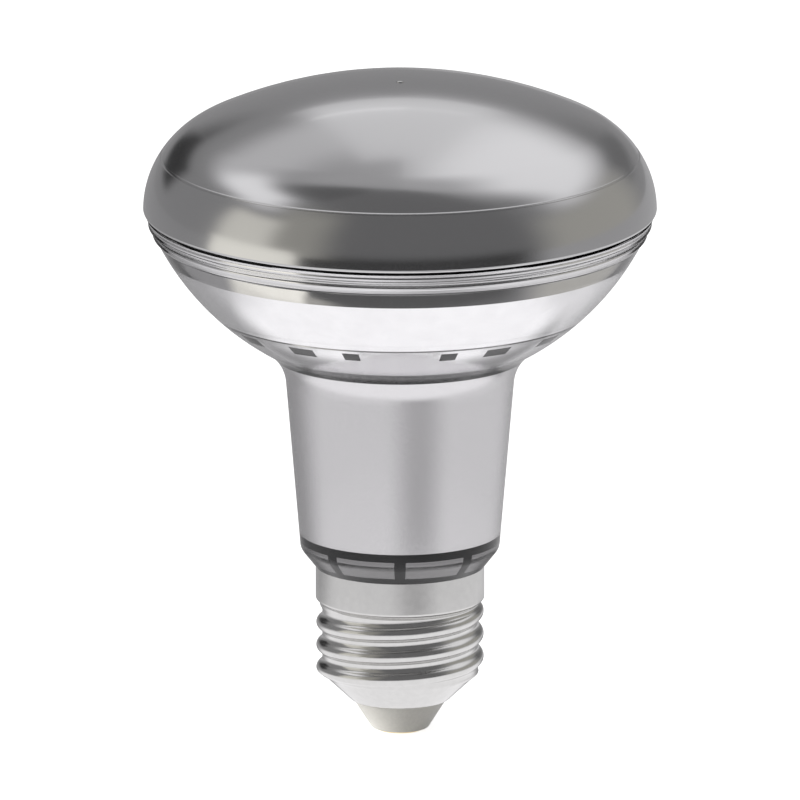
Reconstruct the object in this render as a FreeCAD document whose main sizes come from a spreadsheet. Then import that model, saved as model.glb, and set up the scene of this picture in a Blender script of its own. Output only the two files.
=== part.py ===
"""Reflector lamp with a screw cap: a clear bowl and neck, a domed front lens, and the driver in the neck.

Millimetres, +Z up along the lamp's axis. The origin is the middle of the contact at the bottom of the cap.
"""

import FreeCAD, Part
import math
import os

import Sketcher
from FreeCAD import Placement, Rotation, Vector

# Driving sizes, each written once: name, value, what it is
SIZES = (
    ("thread_pitch", 3.629, "rise of the cap's thread in one turn"),
    ("thread_radius", 13.05, "crest of the thread"),
    ("thread_depth", 0.95, "crest to root"),
    ("crest_height", 9.8, "height above the cap's cone of one crest at +X"),
    ("thread_lead", 0.8, "how far below the top of the cone the thread starts to rise"),
    ("thread_run_in", 1.5, "height over which the thread grows to its full depth"),
    ("thread_length", 11.7, "threaded part, from the cone to the skirt"),
    ("cap_sheet", 0.35, "wall of the rolled cap"),
    ("lip_height", 5.1, "bottom edge of the cap's metal"),
    ("lip_radius", 7.8, "outer radius of that edge"),
    ("cone_height", 4.1, "height of the cap's cone"),
    ("skirt_proud", 0.1, "how far the plain skirt above the thread stands out past its crests"),
    ("skirt_swell", 1.15, "height over which the cap swells from the thread to the skirt"),
    ("skirt_length", 4.35, "plain skirt up to the cap's rim"),
    ("skirt_flare", 0.3, "height by which the swelling runs on before it is cut off at the skirt"),
    ("contact_radius", 3.6, "centre contact"),
    ("contact_sheet", 0.3, "thickness of the contact's head"),
    ("rivet_radius", 1.2, "shank of the contact"),
    ("rivet_stub", 0.6, "how far the shank stands out of the insulator"),
    ("rivet_fit", 0.05, "clearance round the shank"),
    ("insulator_tip", 4.4, "radius of the insulator at the contact"),
    ("insulator_brim", 7.4, "radius of the insulator under the cap's lip"),
    ("insulator_edge", 0.8, "rounding at the tip"),
    ("insulator_plug", 1.8, "height of the plug above the lip"),
    ("insulator_crown", 0.5, "height of the plug's straight top"),
    ("plug_fit", 0.1, "clearance of the plug in the cap's cone"),
    ("body_wall", 1.2, "wall of the clear body"),
    ("body_shelf", 0.05, "how far the shelf on the cap's rim stands out of the skirt"),
    ("collar_fit", 0.1, "clearance of the body's collar in the skirt"),
    ("collar_length", 3.8, "collar below the cap's rim"),
    ("shoulder_width", 2.3, "how far the shoulder leads out from the cap to the neck's foot"),
    ("shoulder_rise", 2.9, "height of the shoulder"),
    ("shoulder_round", 2.0, "rounding of the shoulder"),
    ("neck_spread", 2.62, "how much wider the neck is at its head than at its foot"),
    ("neck_length", 30.45, "height of the neck"),
    ("throat_round", 7.5, "hollow between neck and bowl"),
    ("bowl_height", 22.85, "height of the bowl, from the neck to the mouth"),
    ("mouth_radius", 39.6, "outer radius of the bowl's mouth"),
    ("rim_bead", 0.3, "size of the moulded beads below the mouth"),
    ("bead_drop", 3.0, "how far the lower bead lies below the mouth"),
    ("bead_gap", 1.5, "height between the two beads"),
    ("seal_thickness", 0.4, "gasket between body and lens"),
    ("seal_inset", 0.3, "how far the gasket stays inside the rim"),
    ("cup_gap", 0.15, "gap between reflector and bowl"),
    ("cup_sheet", 0.6, "wall of the reflector"),
    ("cup_lift", 1.5, "height of the reflector's floor above the deck"),
    ("cup_round", 3.0, "rounding at the edge of that floor"),
    ("throat_gap", 0.4, "gap between the light board and the hole in the reflector's floor"),
    ("lens_overhang", 0.43, "how far the lens stands out over the mouth"),
    ("lens_straight", 0.33, "straight part of the lens's side"),
    ("lens_corner", 14.9, "rounding between dome and side"),
    ("lens_dome", 73.9, "radius of curvature of the dome"),
    ("lens_wall", 2.0, "wall of the dome"),
    ("lens_side", 4.0, "wall of the lens at its rim"),
    ("lens_inner_corner", 9.0, "rounding inside the lens"),
    ("spigot_height", 1.2, "spigot of the lens inside the reflector's rim"),
    ("spigot_fit", 0.1, "clearance of that spigot"),
    ("crease_inset", 2.73, "how far the ring groove round the lens's face lies inside its side"),
    ("crease_size", 0.16, "depth of that groove"),
    ("gate_radius", 0.55, "moulding mark in the middle of the dome"),
    ("gate_height", 0.22, "how far that mark stands up"),
    ("sink_gap", 0.4, "gap between the retaining ring and the metal sleeve"),
    ("sink_fit", 0.05, "gap between sleeve and neck"),
    ("sink_wall", 0.8, "wall of the sleeve"),
    ("deck_lift", 1.65, "height of the sleeve's deck above the neck"),
    ("deck_thickness", 1.0, "thickness of the deck"),
    ("sink_round", 3.0, "rounding round the deck"),
    ("pad_inset", 0.3, "how far the heat pad stays inside the light board's edge"),
    ("pad_thickness", 0.2, "thickness of the pad"),
    ("board_rim", 0.4, "light board outside the heads of its screws"),
    ("board_thickness", 1.0, "thickness of both boards"),
    ("chip_length", 3.5, "light chip, round the ring"),
    ("chip_width", 2.8, "light chip, along the radius"),
    ("chip_height", 0.7, "light chip"),
    ("chip_gap", 0.3, "gap between chips"),
    ("screw_gap", 0.3, "gap between the ring of chips and the heads of the board's screws"),
    ("screw_radius", 1.0, "shank of the board's screws"),
    ("screw_head", 1.9, "radius of their heads"),
    ("screw_head_height", 1.1, "height of their heads"),
    ("screw_length", 4.0, "length below the heads"),
    ("screw_fit", 0.1, "clearance round the shanks"),
    ("screw_slot", 0.5, "width and depth of the cross in the heads, and their chamfer"),
    ("screw_cross", 1.15, "half the length of that cross"),
    ("lead_radius", 0.5, "insulated leads"),
    ("lead_bend", 1.4, "bend of the neutral lead"),
    ("lead_run", 0.35, "straight run of that lead above its bend"),
    ("lead_fit", 0.4, "clearance where a lead goes through a plate"),
    ("lead_inset", 1.6, "how far the output leads lie inside the light board's edge"),
    ("solder_radius", 1.3, "solder joint on the light board"),
    ("solder_tip", 0.65, "top of the solder joint"),
    ("solder_height", 0.6, "height of the solder joint"),
    ("housing_fit", 0.25, "clearance of the driver housing in the collar"),
    ("housing_lift", 1.2, "bottom of the driver housing above the cap's cone"),
    ("housing_wall", 1.2, "wall of the driver housing"),
    ("housing_waist", 0.5, "height above the cap where the housing widens"),
    ("housing_gap", 0.15, "gap between housing and sleeve"),
    ("housing_drop", 7.4, "how far the housing's top lies below the deck"),
    ("ring_lift", 0.8, "bottom of the retaining ring above the cap"),
    ("ring_height", 4.0, "height of the retaining ring"),
    ("ring_sheet", 0.5, "wall of the retaining ring"),
    ("ring_gap", 0.1, "gap between that ring and the body"),
    ("slot_width", 1.9, "slots in the ring"),
    ("slot_floor", 0.7, "height of the ring below its slots"),
    ("finger_fit", 0.25, "clearance beside the housing's fingers in those slots"),
    ("finger_lift", 0.4, "clearance under a finger"),
    ("finger_drop", 0.3, "how far a finger's top lies below the ring's"),
    ("finger_inset", 0.35, "how far a finger's end lies inside the neck's wall"),
    ("driver_front", 0.5, "face of the driver board in front of the axis"),
    ("driver_lift", 1.1, "bottom edge of the driver board above the housing's"),
    ("driver_drop", 1.0, "how far the driver board's top lies below the housing's"),
    ("driver_fit", 0.35, "clearance at the driver board's edges"),
    ("part_gap", 0.1, "gap under parts that lie along the driver board"),
    ("storage_room", 1.45, "space between the electrolytic capacitor and the housing"),
    ("storage_length", 12.0, "electrolytic capacitor"),
    ("storage_lift", 1.5, "electrolytic capacitor above the board's bottom edge"),
    ("crimp_depth", 0.35, "groove round the capacitors' cans, and their chamfer"),
    ("crimp_height", 1.4, "middle of that groove above the can's foot"),
    ("film_length", 7.5, "film capacitor"),
    ("film_width", 3.6, "film capacitor"),
    ("film_height", 5.0, "film capacitor"),
    ("film_gap", 1.3, "gap below the film capacitor"),
    ("core_room", 0.3, "space between the winding and the core's side legs"),
    ("core_cover", 0.2, "how far the core stands past the winding, front and back"),
    ("core_height", 10.0, "transformer core"),
    ("core_limb", 1.7, "yokes and side legs of the core"),
    ("core_leg", 1.7, "radius of the core's middle leg"),
    ("core_gap", 2.7, "gap below the transformer"),
    ("winding_radius", 3.5, "transformer winding"),
    ("winding_fit", 0.1, "clearance of the winding round and between the core"),
    ("choke_radius", 3.0, "drum choke"),
    ("choke_waist", 2.4, "winding of the choke"),
    ("choke_height", 6.0, "drum choke"),
    ("choke_flange", 0.9, "end plates of the choke"),
    ("choke_place", 6.2, "distance of the choke from the axis, to the left"),
    ("upper_gap", 1.6, "gap below the choke and the output capacitor"),
    ("output_radius", 3.1, "output capacitor"),
    ("output_length", 7.2, "output capacitor"),
    ("output_place", 5.6, "distance of the output capacitor from the axis, to the right"),
    ("fuse_radius", 1.5, "fusible resistor"),
    ("fuse_length", 6.5, "fusible resistor"),
    ("fuse_lift", 4.5, "fusible resistor above the board's bottom edge"),
    ("fuse_waist", 0.35, "how much slimmer the resistor is in its middle"),
    ("bridge_length", 6.4, "bridge rectifier"),
    ("bridge_height", 4.6, "bridge rectifier"),
    ("bridge_thickness", 1.6, "bridge rectifier"),
    ("bridge_gap", 13.5, "gap below the bridge rectifier"),
    ("control_length", 5.0, "control chip"),
    ("control_height", 4.0, "control chip"),
    ("control_thickness", 1.5, "control chip"),
    ("control_gap", 3.9, "gap below the control chip"),
    ("neutral_place", 6.0, "distance of the neutral lead from the axis, on the driver board"),
)

CHIPS_IN_RING = 7
CHIPS_INSIDE = 3
CHIP_TURN = 90
SLOTS = 8
FULL_TURN = 360
SAME_PLACE = 0.02

# Poles of the rolled cap's surface: round the axis, and along its profile
POLES_ROUND = 24
POLES_A_PITCH = 9

doc = FreeCAD.newDocument("ReflectorLamp")
sheet = doc.addObject("Spreadsheet::Sheet", "Sizes")
for row, (alias, value, meaning) in enumerate(SIZES, start=1):
    sheet.set("A%d" % row, meaning)
    sheet.set("B%d" % row, str(value))
    sheet.setAlias("B%d" % row, alias)
doc.recompute()


class Size:
    """A number that also keeps its formula in terms of the sheet's cells."""

    def __init__(self, value, text):
        self.value = value
        self.text = text

    def __add__(self, other):
        other = as_size(other)
        return Size(self.value + other.value, "(%s + %s)" % (self.text, other.text))

    def __sub__(self, other):
        other = as_size(other)
        return Size(self.value - other.value, "(%s - %s)" % (self.text, other.text))

    def __mul__(self, other):
        other = as_size(other)
        return Size(self.value * other.value, "(%s * %s)" % (self.text, other.text))

    def __truediv__(self, other):
        other = as_size(other)
        return Size(self.value / other.value, "(%s / %s)" % (self.text, other.text))

    def __neg__(self):
        return Size(-self.value, "(0 - %s)" % self.text)


def as_size(number):
    return number if isinstance(number, Size) else Size(float(number), repr(float(number)))


def root(square):
    return Size(math.sqrt(square.value), "sqrt(%s)" % square.text)


class Sheet:
    """The sheet's cells by name, as sizes."""

    def __getattr__(self, alias):
        return Size(float(sheet.get(alias)), "Sizes.%s" % alias)


s = Sheet()
ZERO = as_size(0)


def bind(thing, place, size):
    """Tie one property of an object to a formula of the sheet."""
    thing.setExpression(place, as_size(size).text)


# Bodies, sketches and features
def new_body(name):
    body = doc.addObject("PartDesign::Body", name)
    body.Label = name
    return body


def origin_part(body, role):
    return [part for part in body.Origin.OriginFeatures if part.Role == role][0]


def new_sketch(body, name, role="XZ_Plane", offset=ZERO):
    """A sketch on one of the body's own planes, lifted by offset along that plane's normal."""
    sketch = body.newObject("Sketcher::SketchObject", name)
    sketch.AttachmentSupport = [(origin_part(body, role), "")]
    sketch.MapMode = "FlatFace"
    sketch.AttachmentOffset = Placement(Vector(0, 0, offset.value), Rotation())
    bind(sketch, "AttachmentOffset.Base.z", offset)
    return sketch


def hold(sketch, kind, where, size):
    """Add one dimension to a sketch and tie it to the sheet."""
    number = sketch.addConstraint(Sketcher.Constraint(kind, *where, size.value))
    bind(sketch, "Constraints[%d]" % number, size)


def hold_point(sketch, geometry, end, point):
    hold(sketch, "DistanceX", (-1, 1, geometry, end), point[0])
    hold(sketch, "DistanceY", (-1, 1, geometry, end), point[1])


def arc_between(start, end, radius, turn):
    """The smaller arc from start to end, turning left or right, as a curve with its two ends in order."""
    across = end - start
    middle = (start + end) * 0.5
    left = Vector(-across.y, across.x, 0).normalize()
    reach = math.sqrt(max(radius * radius - across.Length * across.Length / 4, 0))
    centre = middle + left * reach if turn == "left" else middle - left * reach
    circle = Part.Circle(centre, Vector(0, 0, 1), radius)
    first, last = (start, end) if turn == "left" else (end, start)
    begin = math.atan2(first.y - centre.y, first.x - centre.x)
    finish = math.atan2(last.y - centre.y, last.x - centre.x)
    ends = (1, 2) if turn == "left" else (2, 1)
    return Part.ArcOfCircle(circle, begin, finish), ends


def draw(sketch, corners, closed=True):
    """An outline through corners. A corner is (x, y), reached by a straight line, or
    (x, y, radius, turn), reached by an arc that turns left or right. The first is the start."""
    corners = [(as_size(c[0]), as_size(c[1])) + tuple(c[2:]) for c in corners]
    runs = list(zip(corners, corners[1:] + corners[:1])) if closed else list(zip(corners, corners[1:]))
    drawn = []
    for start, end in runs:
        a = Vector(start[0].value, start[1].value, 0)
        b = Vector(end[0].value, end[1].value, 0)
        if len(end) == 4:
            curve, ends = arc_between(a, b, end[2].value, end[3])
        else:
            curve, ends = Part.LineSegment(a, b), (1, 2)
        drawn.append((sketch.addGeometry(curve, False), ends))
    for place, (number, ends) in enumerate(drawn):
        if place + 1 < len(drawn) or closed:
            following, following_ends = drawn[(place + 1) % len(drawn)]
            sketch.addConstraint(
                Sketcher.Constraint("Coincident", number, ends[1], following, following_ends[0])
            )
    for (start, end), (number, ends) in zip(runs, drawn):
        hold_point(sketch, number, ends[0], start)
        if len(end) == 4:
            hold(sketch, "Radius", (number,), end[2])
    if not closed:
        hold_point(sketch, drawn[-1][0], drawn[-1][1][1], runs[-1][1])
    return sketch


def draw_circle(sketch, centre, radius):
    centre = (as_size(centre[0]), as_size(centre[1]))
    middle = Vector(centre[0].value, centre[1].value, 0)
    number = sketch.addGeometry(Part.Circle(middle, Vector(0, 0, 1), radius.value), False)
    hold_point(sketch, number, 3, centre)
    hold(sketch, "Radius", (number,), radius)
    return sketch


def turned(body, sketch, kind="Revolution"):
    """Turn a half section round the axis: Revolution adds it, Groove cuts it."""
    feature = body.newObject("PartDesign::%s" % kind, sketch.Name + "Turned")
    feature.Profile = sketch
    feature.ReferenceAxis = (sketch, ["V_Axis"])
    feature.Angle = FULL_TURN
    body.Tip = feature
    doc.recompute()
    return feature


def pushed(body, sketch, length, kind="Pad", both_ways=False, backwards=False):
    feature = body.newObject("PartDesign::%s" % kind, sketch.Name + kind)
    feature.Profile = sketch
    bind(feature, "Length", length)
    feature.Midplane = both_ways
    feature.Reversed = backwards
    body.Tip = feature
    doc.recompute()
    return feature


def repeated(body, feature, count):
    pattern = body.newObject("PartDesign::PolarPattern", feature.Name + "Ring")
    pattern.Originals = [feature]
    pattern.Axis = (origin_part(body, "Z_Axis"), [""])
    pattern.Angle = FULL_TURN
    pattern.Occurrences = count
    body.Tip = pattern
    doc.recompute()
    return pattern


def rounded(body, rings):
    """Round circular edges of the body's last feature: rings is a list of (radius, height, rounding)."""
    for place, (radius, height, size) in enumerate(rings):
        base = body.Tip
        names = []
        for number, edge in enumerate(base.Shape.Edges, start=1):
            if edge.Degenerated or not isinstance(edge.Curve, Part.Circle):
                continue
            near = abs(edge.Curve.Radius - radius.value) < SAME_PLACE
            if near and abs(edge.Curve.Center.z - height.value) < SAME_PLACE:
                names.append("Edge%d" % number)
        fillet = body.newObject("PartDesign::Fillet", "%sRound%d" % (body.Name, place))
        fillet.Base = (base, names)
        bind(fillet, "Radius", size)
        body.Tip = fillet
        doc.recompute()


def section_body(name, corners, rings=()):
    """A piece turned from one half section, with some of its edges rounded."""
    body = new_body(name)
    turned(body, draw(new_sketch(body, name + "_section"), corners))
    rounded(body, rings)
    return body


def box(name, corner, size, label=None):
    """A box by its lowest corner and its size."""
    block = doc.addObject("Part::Box", name)
    if label:
        block.Label = label
    for side, length in zip(("Length", "Width", "Height"), size):
        bind(block, side, length)
    for axis, value in zip("xyz", corner):
        bind(block, "Placement.Base." + axis, value)
    return block


# Sizes that follow from the driving ones: the cap
cone_top = s.lip_height + s.cone_height
skirt_low = cone_top + s.thread_length
skirt_foot = skirt_low + s.skirt_swell
flare_top = skirt_foot + s.skirt_flare
cap_top = skirt_foot + s.skirt_length
valley = s.thread_radius - s.thread_depth
skirt_radius = s.thread_radius + s.skirt_proud
plug_top = s.lip_height + s.insulator_plug + s.insulator_crown
rivet_top = plug_top + s.rivet_stub

# The clear body
collar_radius = skirt_radius - s.cap_sheet - s.collar_fit
collar_bore = collar_radius - s.body_wall
shelf = skirt_radius + s.body_shelf
neck_foot = shelf + s.shoulder_width
neck_foot_height = cap_top + s.shoulder_rise
neck_head = neck_foot + s.neck_spread
throat_height = neck_foot_height + s.neck_length
mouth_height = throat_height + s.bowl_height
shoulder_slope = s.shoulder_rise / s.shoulder_width
shoulder_steepness = root(shoulder_slope * shoulder_slope + 1)
shoulder_lift = s.body_wall * shoulder_steepness
neck_bore = neck_foot - s.body_wall
neck_bore_head = neck_head - s.body_wall

# The bowl is part of a sphere round the axis, through the neck's head and the mouth
mouth_gain = (s.mouth_radius * s.mouth_radius - neck_head * neck_head) / s.bowl_height
bowl_centre = (mouth_height + throat_height + mouth_gain) / 2
centre_rise = bowl_centre - mouth_height
bowl_radius = root(s.mouth_radius * s.mouth_radius + centre_rise * centre_rise)
bowl_bore = bowl_radius - s.body_wall
cup_outside = bowl_bore - s.cup_gap
cup_inside = cup_outside - s.cup_sheet


def sphere_radius(radius, height):
    """Radius of a ring at one height on a sphere round the bowl's centre."""
    rise = bowl_centre - height
    return root(radius * radius - rise * rise)


def sphere_height(radius, ring):
    """Height of a ring on the lower side of such a sphere."""
    return bowl_centre - root(radius * radius - ring * ring)


def shoulder_height(radius, lift):
    """Height of the shoulder's slanted line, raised by lift."""
    return cap_top + shoulder_slope * (radius - shelf) + lift


def shoulder_radius(height, lift):
    """Radius of that line at one height."""
    return shelf + (height - cap_top - lift) / shoulder_slope


neck_bore_height = shoulder_height(neck_bore, shoulder_lift)
neck_bore_top = sphere_height(bowl_bore, neck_bore_head)
neck_taper = (neck_bore_head - neck_bore) / (neck_bore_top - neck_bore_height)


def neck_radius(height, inset):
    """Radius inside the neck, inset from its inner wall."""
    return neck_bore + neck_taper * (height - neck_bore_height) - inset


# What stands in the neck
ring_foot = cap_top + s.ring_lift
ring_top = ring_foot + s.ring_height
sink_foot = ring_top + s.sink_gap
sink_deck = throat_height + s.deck_lift
deck_under = sink_deck - s.deck_thickness
pad_top = sink_deck + s.pad_thickness
board_top = pad_top + s.board_thickness
chip_inner_edge = (s.chip_length + s.chip_gap) / 2 / math.tan(math.pi / CHIPS_INSIDE)
chip_inner_ring = chip_inner_edge + s.chip_width / 2
chip_inner_reach = chip_inner_edge + s.chip_width
chip_corner = root(chip_inner_reach * chip_inner_reach + s.chip_length * s.chip_length / 4)
chip_ring = chip_corner + s.chip_gap + s.chip_width / 2
screw_place = chip_ring + s.chip_width / 2 + s.screw_gap + s.screw_head
board_radius = screw_place + s.screw_head + s.board_rim
pad_radius = board_radius - s.pad_inset
throat_radius = board_radius + s.throat_gap
screw_hole = s.screw_radius + s.screw_fit
lead_place = board_radius - s.lead_inset
lead_hole = s.lead_radius + s.lead_fit
housing_radius = collar_bore - s.housing_fit
housing_bore = housing_radius - s.housing_wall
housing_foot = cone_top + s.housing_lift
housing_waist = cap_top + s.housing_waist
housing_top = sink_deck - s.housing_drop
housing_inset = s.sink_fit + s.sink_wall + s.housing_gap
board_back = s.board_thickness - s.driver_front
board_middle = board_back - s.board_thickness / 2
driver_foot = housing_foot + s.driver_lift
driver_top = housing_top - s.driver_drop
lens_base = mouth_height + s.seal_thickness


# The rolled cap
def wave(turns):
    """Knuckle thread section: 1 at the crest, 0 at the root, of two equal arcs that meet."""
    pitch = s.thread_pitch.value
    depth = s.thread_depth.value
    lean = 2 * math.atan(2 * depth / pitch)
    radius = pitch / (4 * math.sin(lean))
    away = abs(turns - round(turns)) * pitch
    if away <= pitch / 4:
        return 1 - (radius - math.sqrt(radius * radius - away * away)) / depth
    left = pitch / 2 - away
    return (radius - math.sqrt(radius * radius - left * left)) / depth


def smooth(share):
    share = min(max(share, 0.0), 1.0)
    return share * share * (3 - 2 * share)


def cap_profile(inset):
    """Half section of the cap without its thread, from the lip to the swelling's end past the skirt."""
    lip = Vector(s.lip_radius.value, 0, s.lip_height.value)
    knee = Vector(valley.value, 0, cone_top.value)
    cone = (knee - lip).normalize()
    radial = inset / cone.z
    half_turn = math.atan2(cone.x, cone.z) / 2
    lip = Vector(lip.x - radial, 0, lip.z)
    knee = Vector(valley.value - inset, 0, knee.z + inset * math.tan(half_turn))
    low = Vector(valley.value - inset, 0, skirt_low.value)
    swell = (skirt_radius - valley) / s.skirt_swell
    high = Vector(skirt_radius.value - inset + (swell * s.skirt_flare).value, 0, flare_top.value)
    step = s.thread_pitch.value / POLES_A_PITCH
    points = []
    for start, end in ((lip, knee), (knee, low), (low, high)):
        count = max(int(round((end - start).Length / step)), 2)
        for i in range(count):
            points.append(start + (end - start) * (i / count))
    return points + [high]


def thread_swell(point, angle, rise):
    """How far a pole stands out of the profile for the surface to reach the thread's form there."""
    foot = cone_top - s.thread_lead
    crest = cone_top + s.crest_height
    turns = (point.z - crest.value) / s.thread_pitch.value - angle / (2 * math.pi)
    grown = smooth((point.z - foot.value) / s.thread_run_in.value)
    gone = smooth((skirt_low.value - point.z) / s.thread_run_in.value)
    middle = 1 / 2
    return s.thread_depth.value * grown * gone * (middle + rise * (wave(turns) - middle))


def rolled_skin(inset):
    """One skin of the threaded part, closed round the axis. A cubic surface runs inside its poles,
    so they stand out by spread round the axis and by rise along the thread's wave."""
    step = 2 * math.pi / POLES_ROUND
    spread = 3 / (2 + math.cos(step))
    rise = 3 / (2 + math.cos(2 * math.pi / POLES_A_PITCH))
    profile = cap_profile(inset)
    poles = []
    for i in range(POLES_ROUND):
        angle = i * step
        column = []
        for point in profile:
            reach = spread * (point.x + thread_swell(point, angle, rise))
            column.append(Vector(reach * math.cos(angle), reach * math.sin(angle), point.z))
        poles.append(column)
    skin = Part.BSplineSurface()
    along = len(profile)
    ring_knots = [i / POLES_ROUND for i in range(POLES_ROUND + 1)]
    rise_knots = [i / (along - 3) for i in range(along - 2)]
    skin.buildFromPolesMultsKnots(
        poles,
        [1] * (POLES_ROUND + 1),
        [4] + [1] * (along - 4) + [4],
        ring_knots,
        rise_knots,
        True,
        False,
        3,
        3,
    )
    return skin.toShape()


def edge_at(face, height):
    for edge in face.Edges:
        if edge.BoundBox.ZLength < SAME_PLACE and abs(edge.BoundBox.ZMax - height) < SAME_PLACE:
            return edge
    raise ValueError("no edge at height %.2f" % height)


def rolled_solid(inset):
    """All that lies inside one skin: the rolled part, cut off at the skirt's cylinder, and the skirt."""
    skin = rolled_skin(inset)
    ends = [Part.Face(Part.Wire(edge_at(skin, height.value))) for height in (s.lip_height, flare_top)]
    shell = Part.Shell([skin] + ends)
    shell.sewShape()
    rolled = Part.Solid(shell)
    if rolled.Volume < 0:
        rolled.reverse()
    radius = skirt_radius.value - inset
    lower = Part.makeCylinder(radius, (flare_top - s.lip_height).value, Vector(0, 0, s.lip_height.value))
    upper = Part.makeCylinder(radius, (cap_top - flare_top).value, Vector(0, 0, flare_top.value))
    return rolled.common(lower).fuse(upper).removeSplitter()


def make_cap_shell():
    cap = doc.addObject("Part::Feature", "cap_shell")
    cap.Label = "cap_shell"
    cap.Shape = rolled_solid(0.0).cut(rolled_solid(s.cap_sheet.value))
    cap.Placement = Placement()
    return cap


def make_centre_contact():
    return section_body(
        "centre_contact",
        (
            (ZERO, ZERO),
            (s.contact_radius, ZERO),
            (s.contact_radius, s.contact_sheet),
            (s.rivet_radius, s.contact_sheet),
            (s.rivet_radius, rivet_top),
            (ZERO, rivet_top),
        ),
        ((s.contact_radius, ZERO, s.contact_sheet / 2),),
    )


def make_cap_insulator():
    bore = s.rivet_radius + s.rivet_fit
    lean = (valley - s.lip_radius) / s.cone_height
    thick = (s.cap_sheet + s.plug_fit) * root(lean * lean + 1)
    neck = s.lip_radius - thick
    crown = neck + lean * s.insulator_plug
    return section_body(
        "cap_insulator",
        (
            (bore, s.contact_sheet),
            (s.insulator_tip, s.contact_sheet),
            (s.insulator_brim, s.lip_height),
            (neck, s.lip_height),
            (crown, plug_top - s.insulator_crown),
            (crown, plug_top),
            (bore, plug_top),
        ),
        ((s.insulator_tip, s.contact_sheet, s.insulator_edge),),
    )


# The clear body, its gasket, reflector and lens
def make_clear_body():
    collar_foot = cap_top - s.collar_length
    body = section_body(
        "clear_body",
        (
            (collar_radius, collar_foot),
            (collar_radius, cap_top),
            (shelf, cap_top),
            (neck_foot, neck_foot_height),
            (neck_head, throat_height),
            (s.mouth_radius, mouth_height, bowl_radius, "left"),
            (sphere_radius(bowl_bore, mouth_height), mouth_height),
            (neck_bore_head, neck_bore_top, bowl_bore, "right"),
            (neck_bore, neck_bore_height),
            (collar_bore, shoulder_height(collar_bore, shoulder_lift)),
            (collar_bore, collar_foot),
        ),
        (
            (neck_foot, neck_foot_height, s.shoulder_round),
            (neck_head, throat_height, s.throat_round),
            (neck_bore_head, neck_bore_top, s.throat_round + s.body_wall),
        ),
    )
    # The beads are ridges with a longer flank below their crest
    for number in (0, 1):
        crest_height = mouth_height - s.bead_drop + s.bead_gap * number
        low = crest_height - s.rim_bead * 2
        high = crest_height + s.rim_bead
        bead = new_sketch(body, "rim_bead_%d" % number)
        draw(
            bead,
            (
                (sphere_radius(bowl_radius, low) - s.rim_bead, low),
                (sphere_radius(bowl_radius, crest_height) + s.rim_bead, crest_height),
                (sphere_radius(bowl_radius, high) - s.rim_bead, high),
            ),
        )
        turned(body, bead)
    return body


def make_lens_seal():
    inside = sphere_radius(cup_inside, mouth_height)
    outside = s.mouth_radius - s.seal_inset
    return section_body(
        "lens_seal",
        ((inside, mouth_height), (outside, mouth_height), (outside, lens_base), (inside, lens_base)),
    )


def make_reflector_cup():
    floor = sink_deck + s.cup_lift
    floor_top = floor + s.cup_sheet
    collar = throat_radius + s.cup_sheet
    outer_floor = sphere_radius(cup_outside, floor)
    inner_floor = sphere_radius(cup_inside, floor_top)
    return section_body(
        "reflector_cup",
        (
            (throat_radius, sink_deck),
            (collar, sink_deck),
            (collar, floor),
            (outer_floor, floor),
            (sphere_radius(cup_outside, mouth_height), mouth_height, cup_outside, "left"),
            (sphere_radius(cup_inside, mouth_height), mouth_height),
            (inner_floor, floor_top, cup_inside, "right"),
            (throat_radius, floor_top),
        ),
        (
            (outer_floor, floor, s.cup_round),
            (inner_floor, floor_top, s.cup_round - s.cup_sheet),
        ),
    )


def make_front_lens():
    """The dome and the side are joined by an arc that is tangent to both, outside and inside."""
    side = s.mouth_radius + s.lens_overhang
    corner_ring = side - s.lens_corner
    corner_height = lens_base + s.lens_straight
    reach = s.lens_dome - s.lens_corner
    centre = corner_height - root(reach * reach - corner_ring * corner_ring)
    lens_top = centre + s.lens_dome
    lean = corner_ring / reach
    upright = (corner_height - centre) / reach
    inner_dome = s.lens_dome - s.lens_wall
    inner_side = side - s.lens_side
    inner_ring = inner_side - s.lens_inner_corner
    inner_reach = inner_dome - s.lens_inner_corner
    inner_height = centre + root(inner_reach * inner_reach - inner_ring * inner_ring)
    inner_lean = inner_ring / inner_reach
    inner_upright = (inner_height - centre) / inner_reach
    spigot = sphere_radius(cup_inside, lens_base - s.spigot_height) - s.spigot_fit
    body = new_body("front_lens")
    section = new_sketch(body, "front_lens_section")
    draw(
        section,
        (
            (ZERO, lens_top, s.lens_dome, "left"),
            (ZERO, lens_top - s.lens_wall),
            (inner_dome * inner_lean, centre + inner_dome * inner_upright, inner_dome, "right"),
            (inner_side, inner_height, s.lens_inner_corner, "right"),
            (inner_side, lens_base - s.spigot_height),
            (spigot, lens_base - s.spigot_height),
            (spigot, lens_base),
            (side, lens_base),
            (side, corner_height),
            (s.lens_dome * lean, centre + s.lens_dome * upright, s.lens_corner, "left"),
        ),
    )
    turned(body, section)
    # Ring groove in the outer corner, between the face and the side: its point lies inside the surface
    crease = side - s.crease_inset
    off = crease - corner_ring
    crease_height = corner_height + root(s.lens_corner * s.lens_corner - off * off)
    inward = s.crease_size
    outward = s.crease_size + s.crease_size
    groove = new_sketch(body, "lens_crease")
    draw(
        groove,
        (
            (crease - inward, crease_height - inward),
            (crease + outward, crease_height + inward),
            (crease + inward, crease_height + outward),
        ),
    )
    turned(body, groove, "Groove")
    # Gate mark, a low button with a raised middle
    mark = new_sketch(body, "gate_mark")
    draw(
        mark,
        (
            (ZERO, lens_top - s.gate_height),
            (s.gate_radius, lens_top - s.gate_height),
            (s.gate_radius, lens_top + s.gate_height / 2),
            (ZERO, lens_top + s.gate_height),
        ),
    )
    turned(body, mark)
    return body


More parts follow.
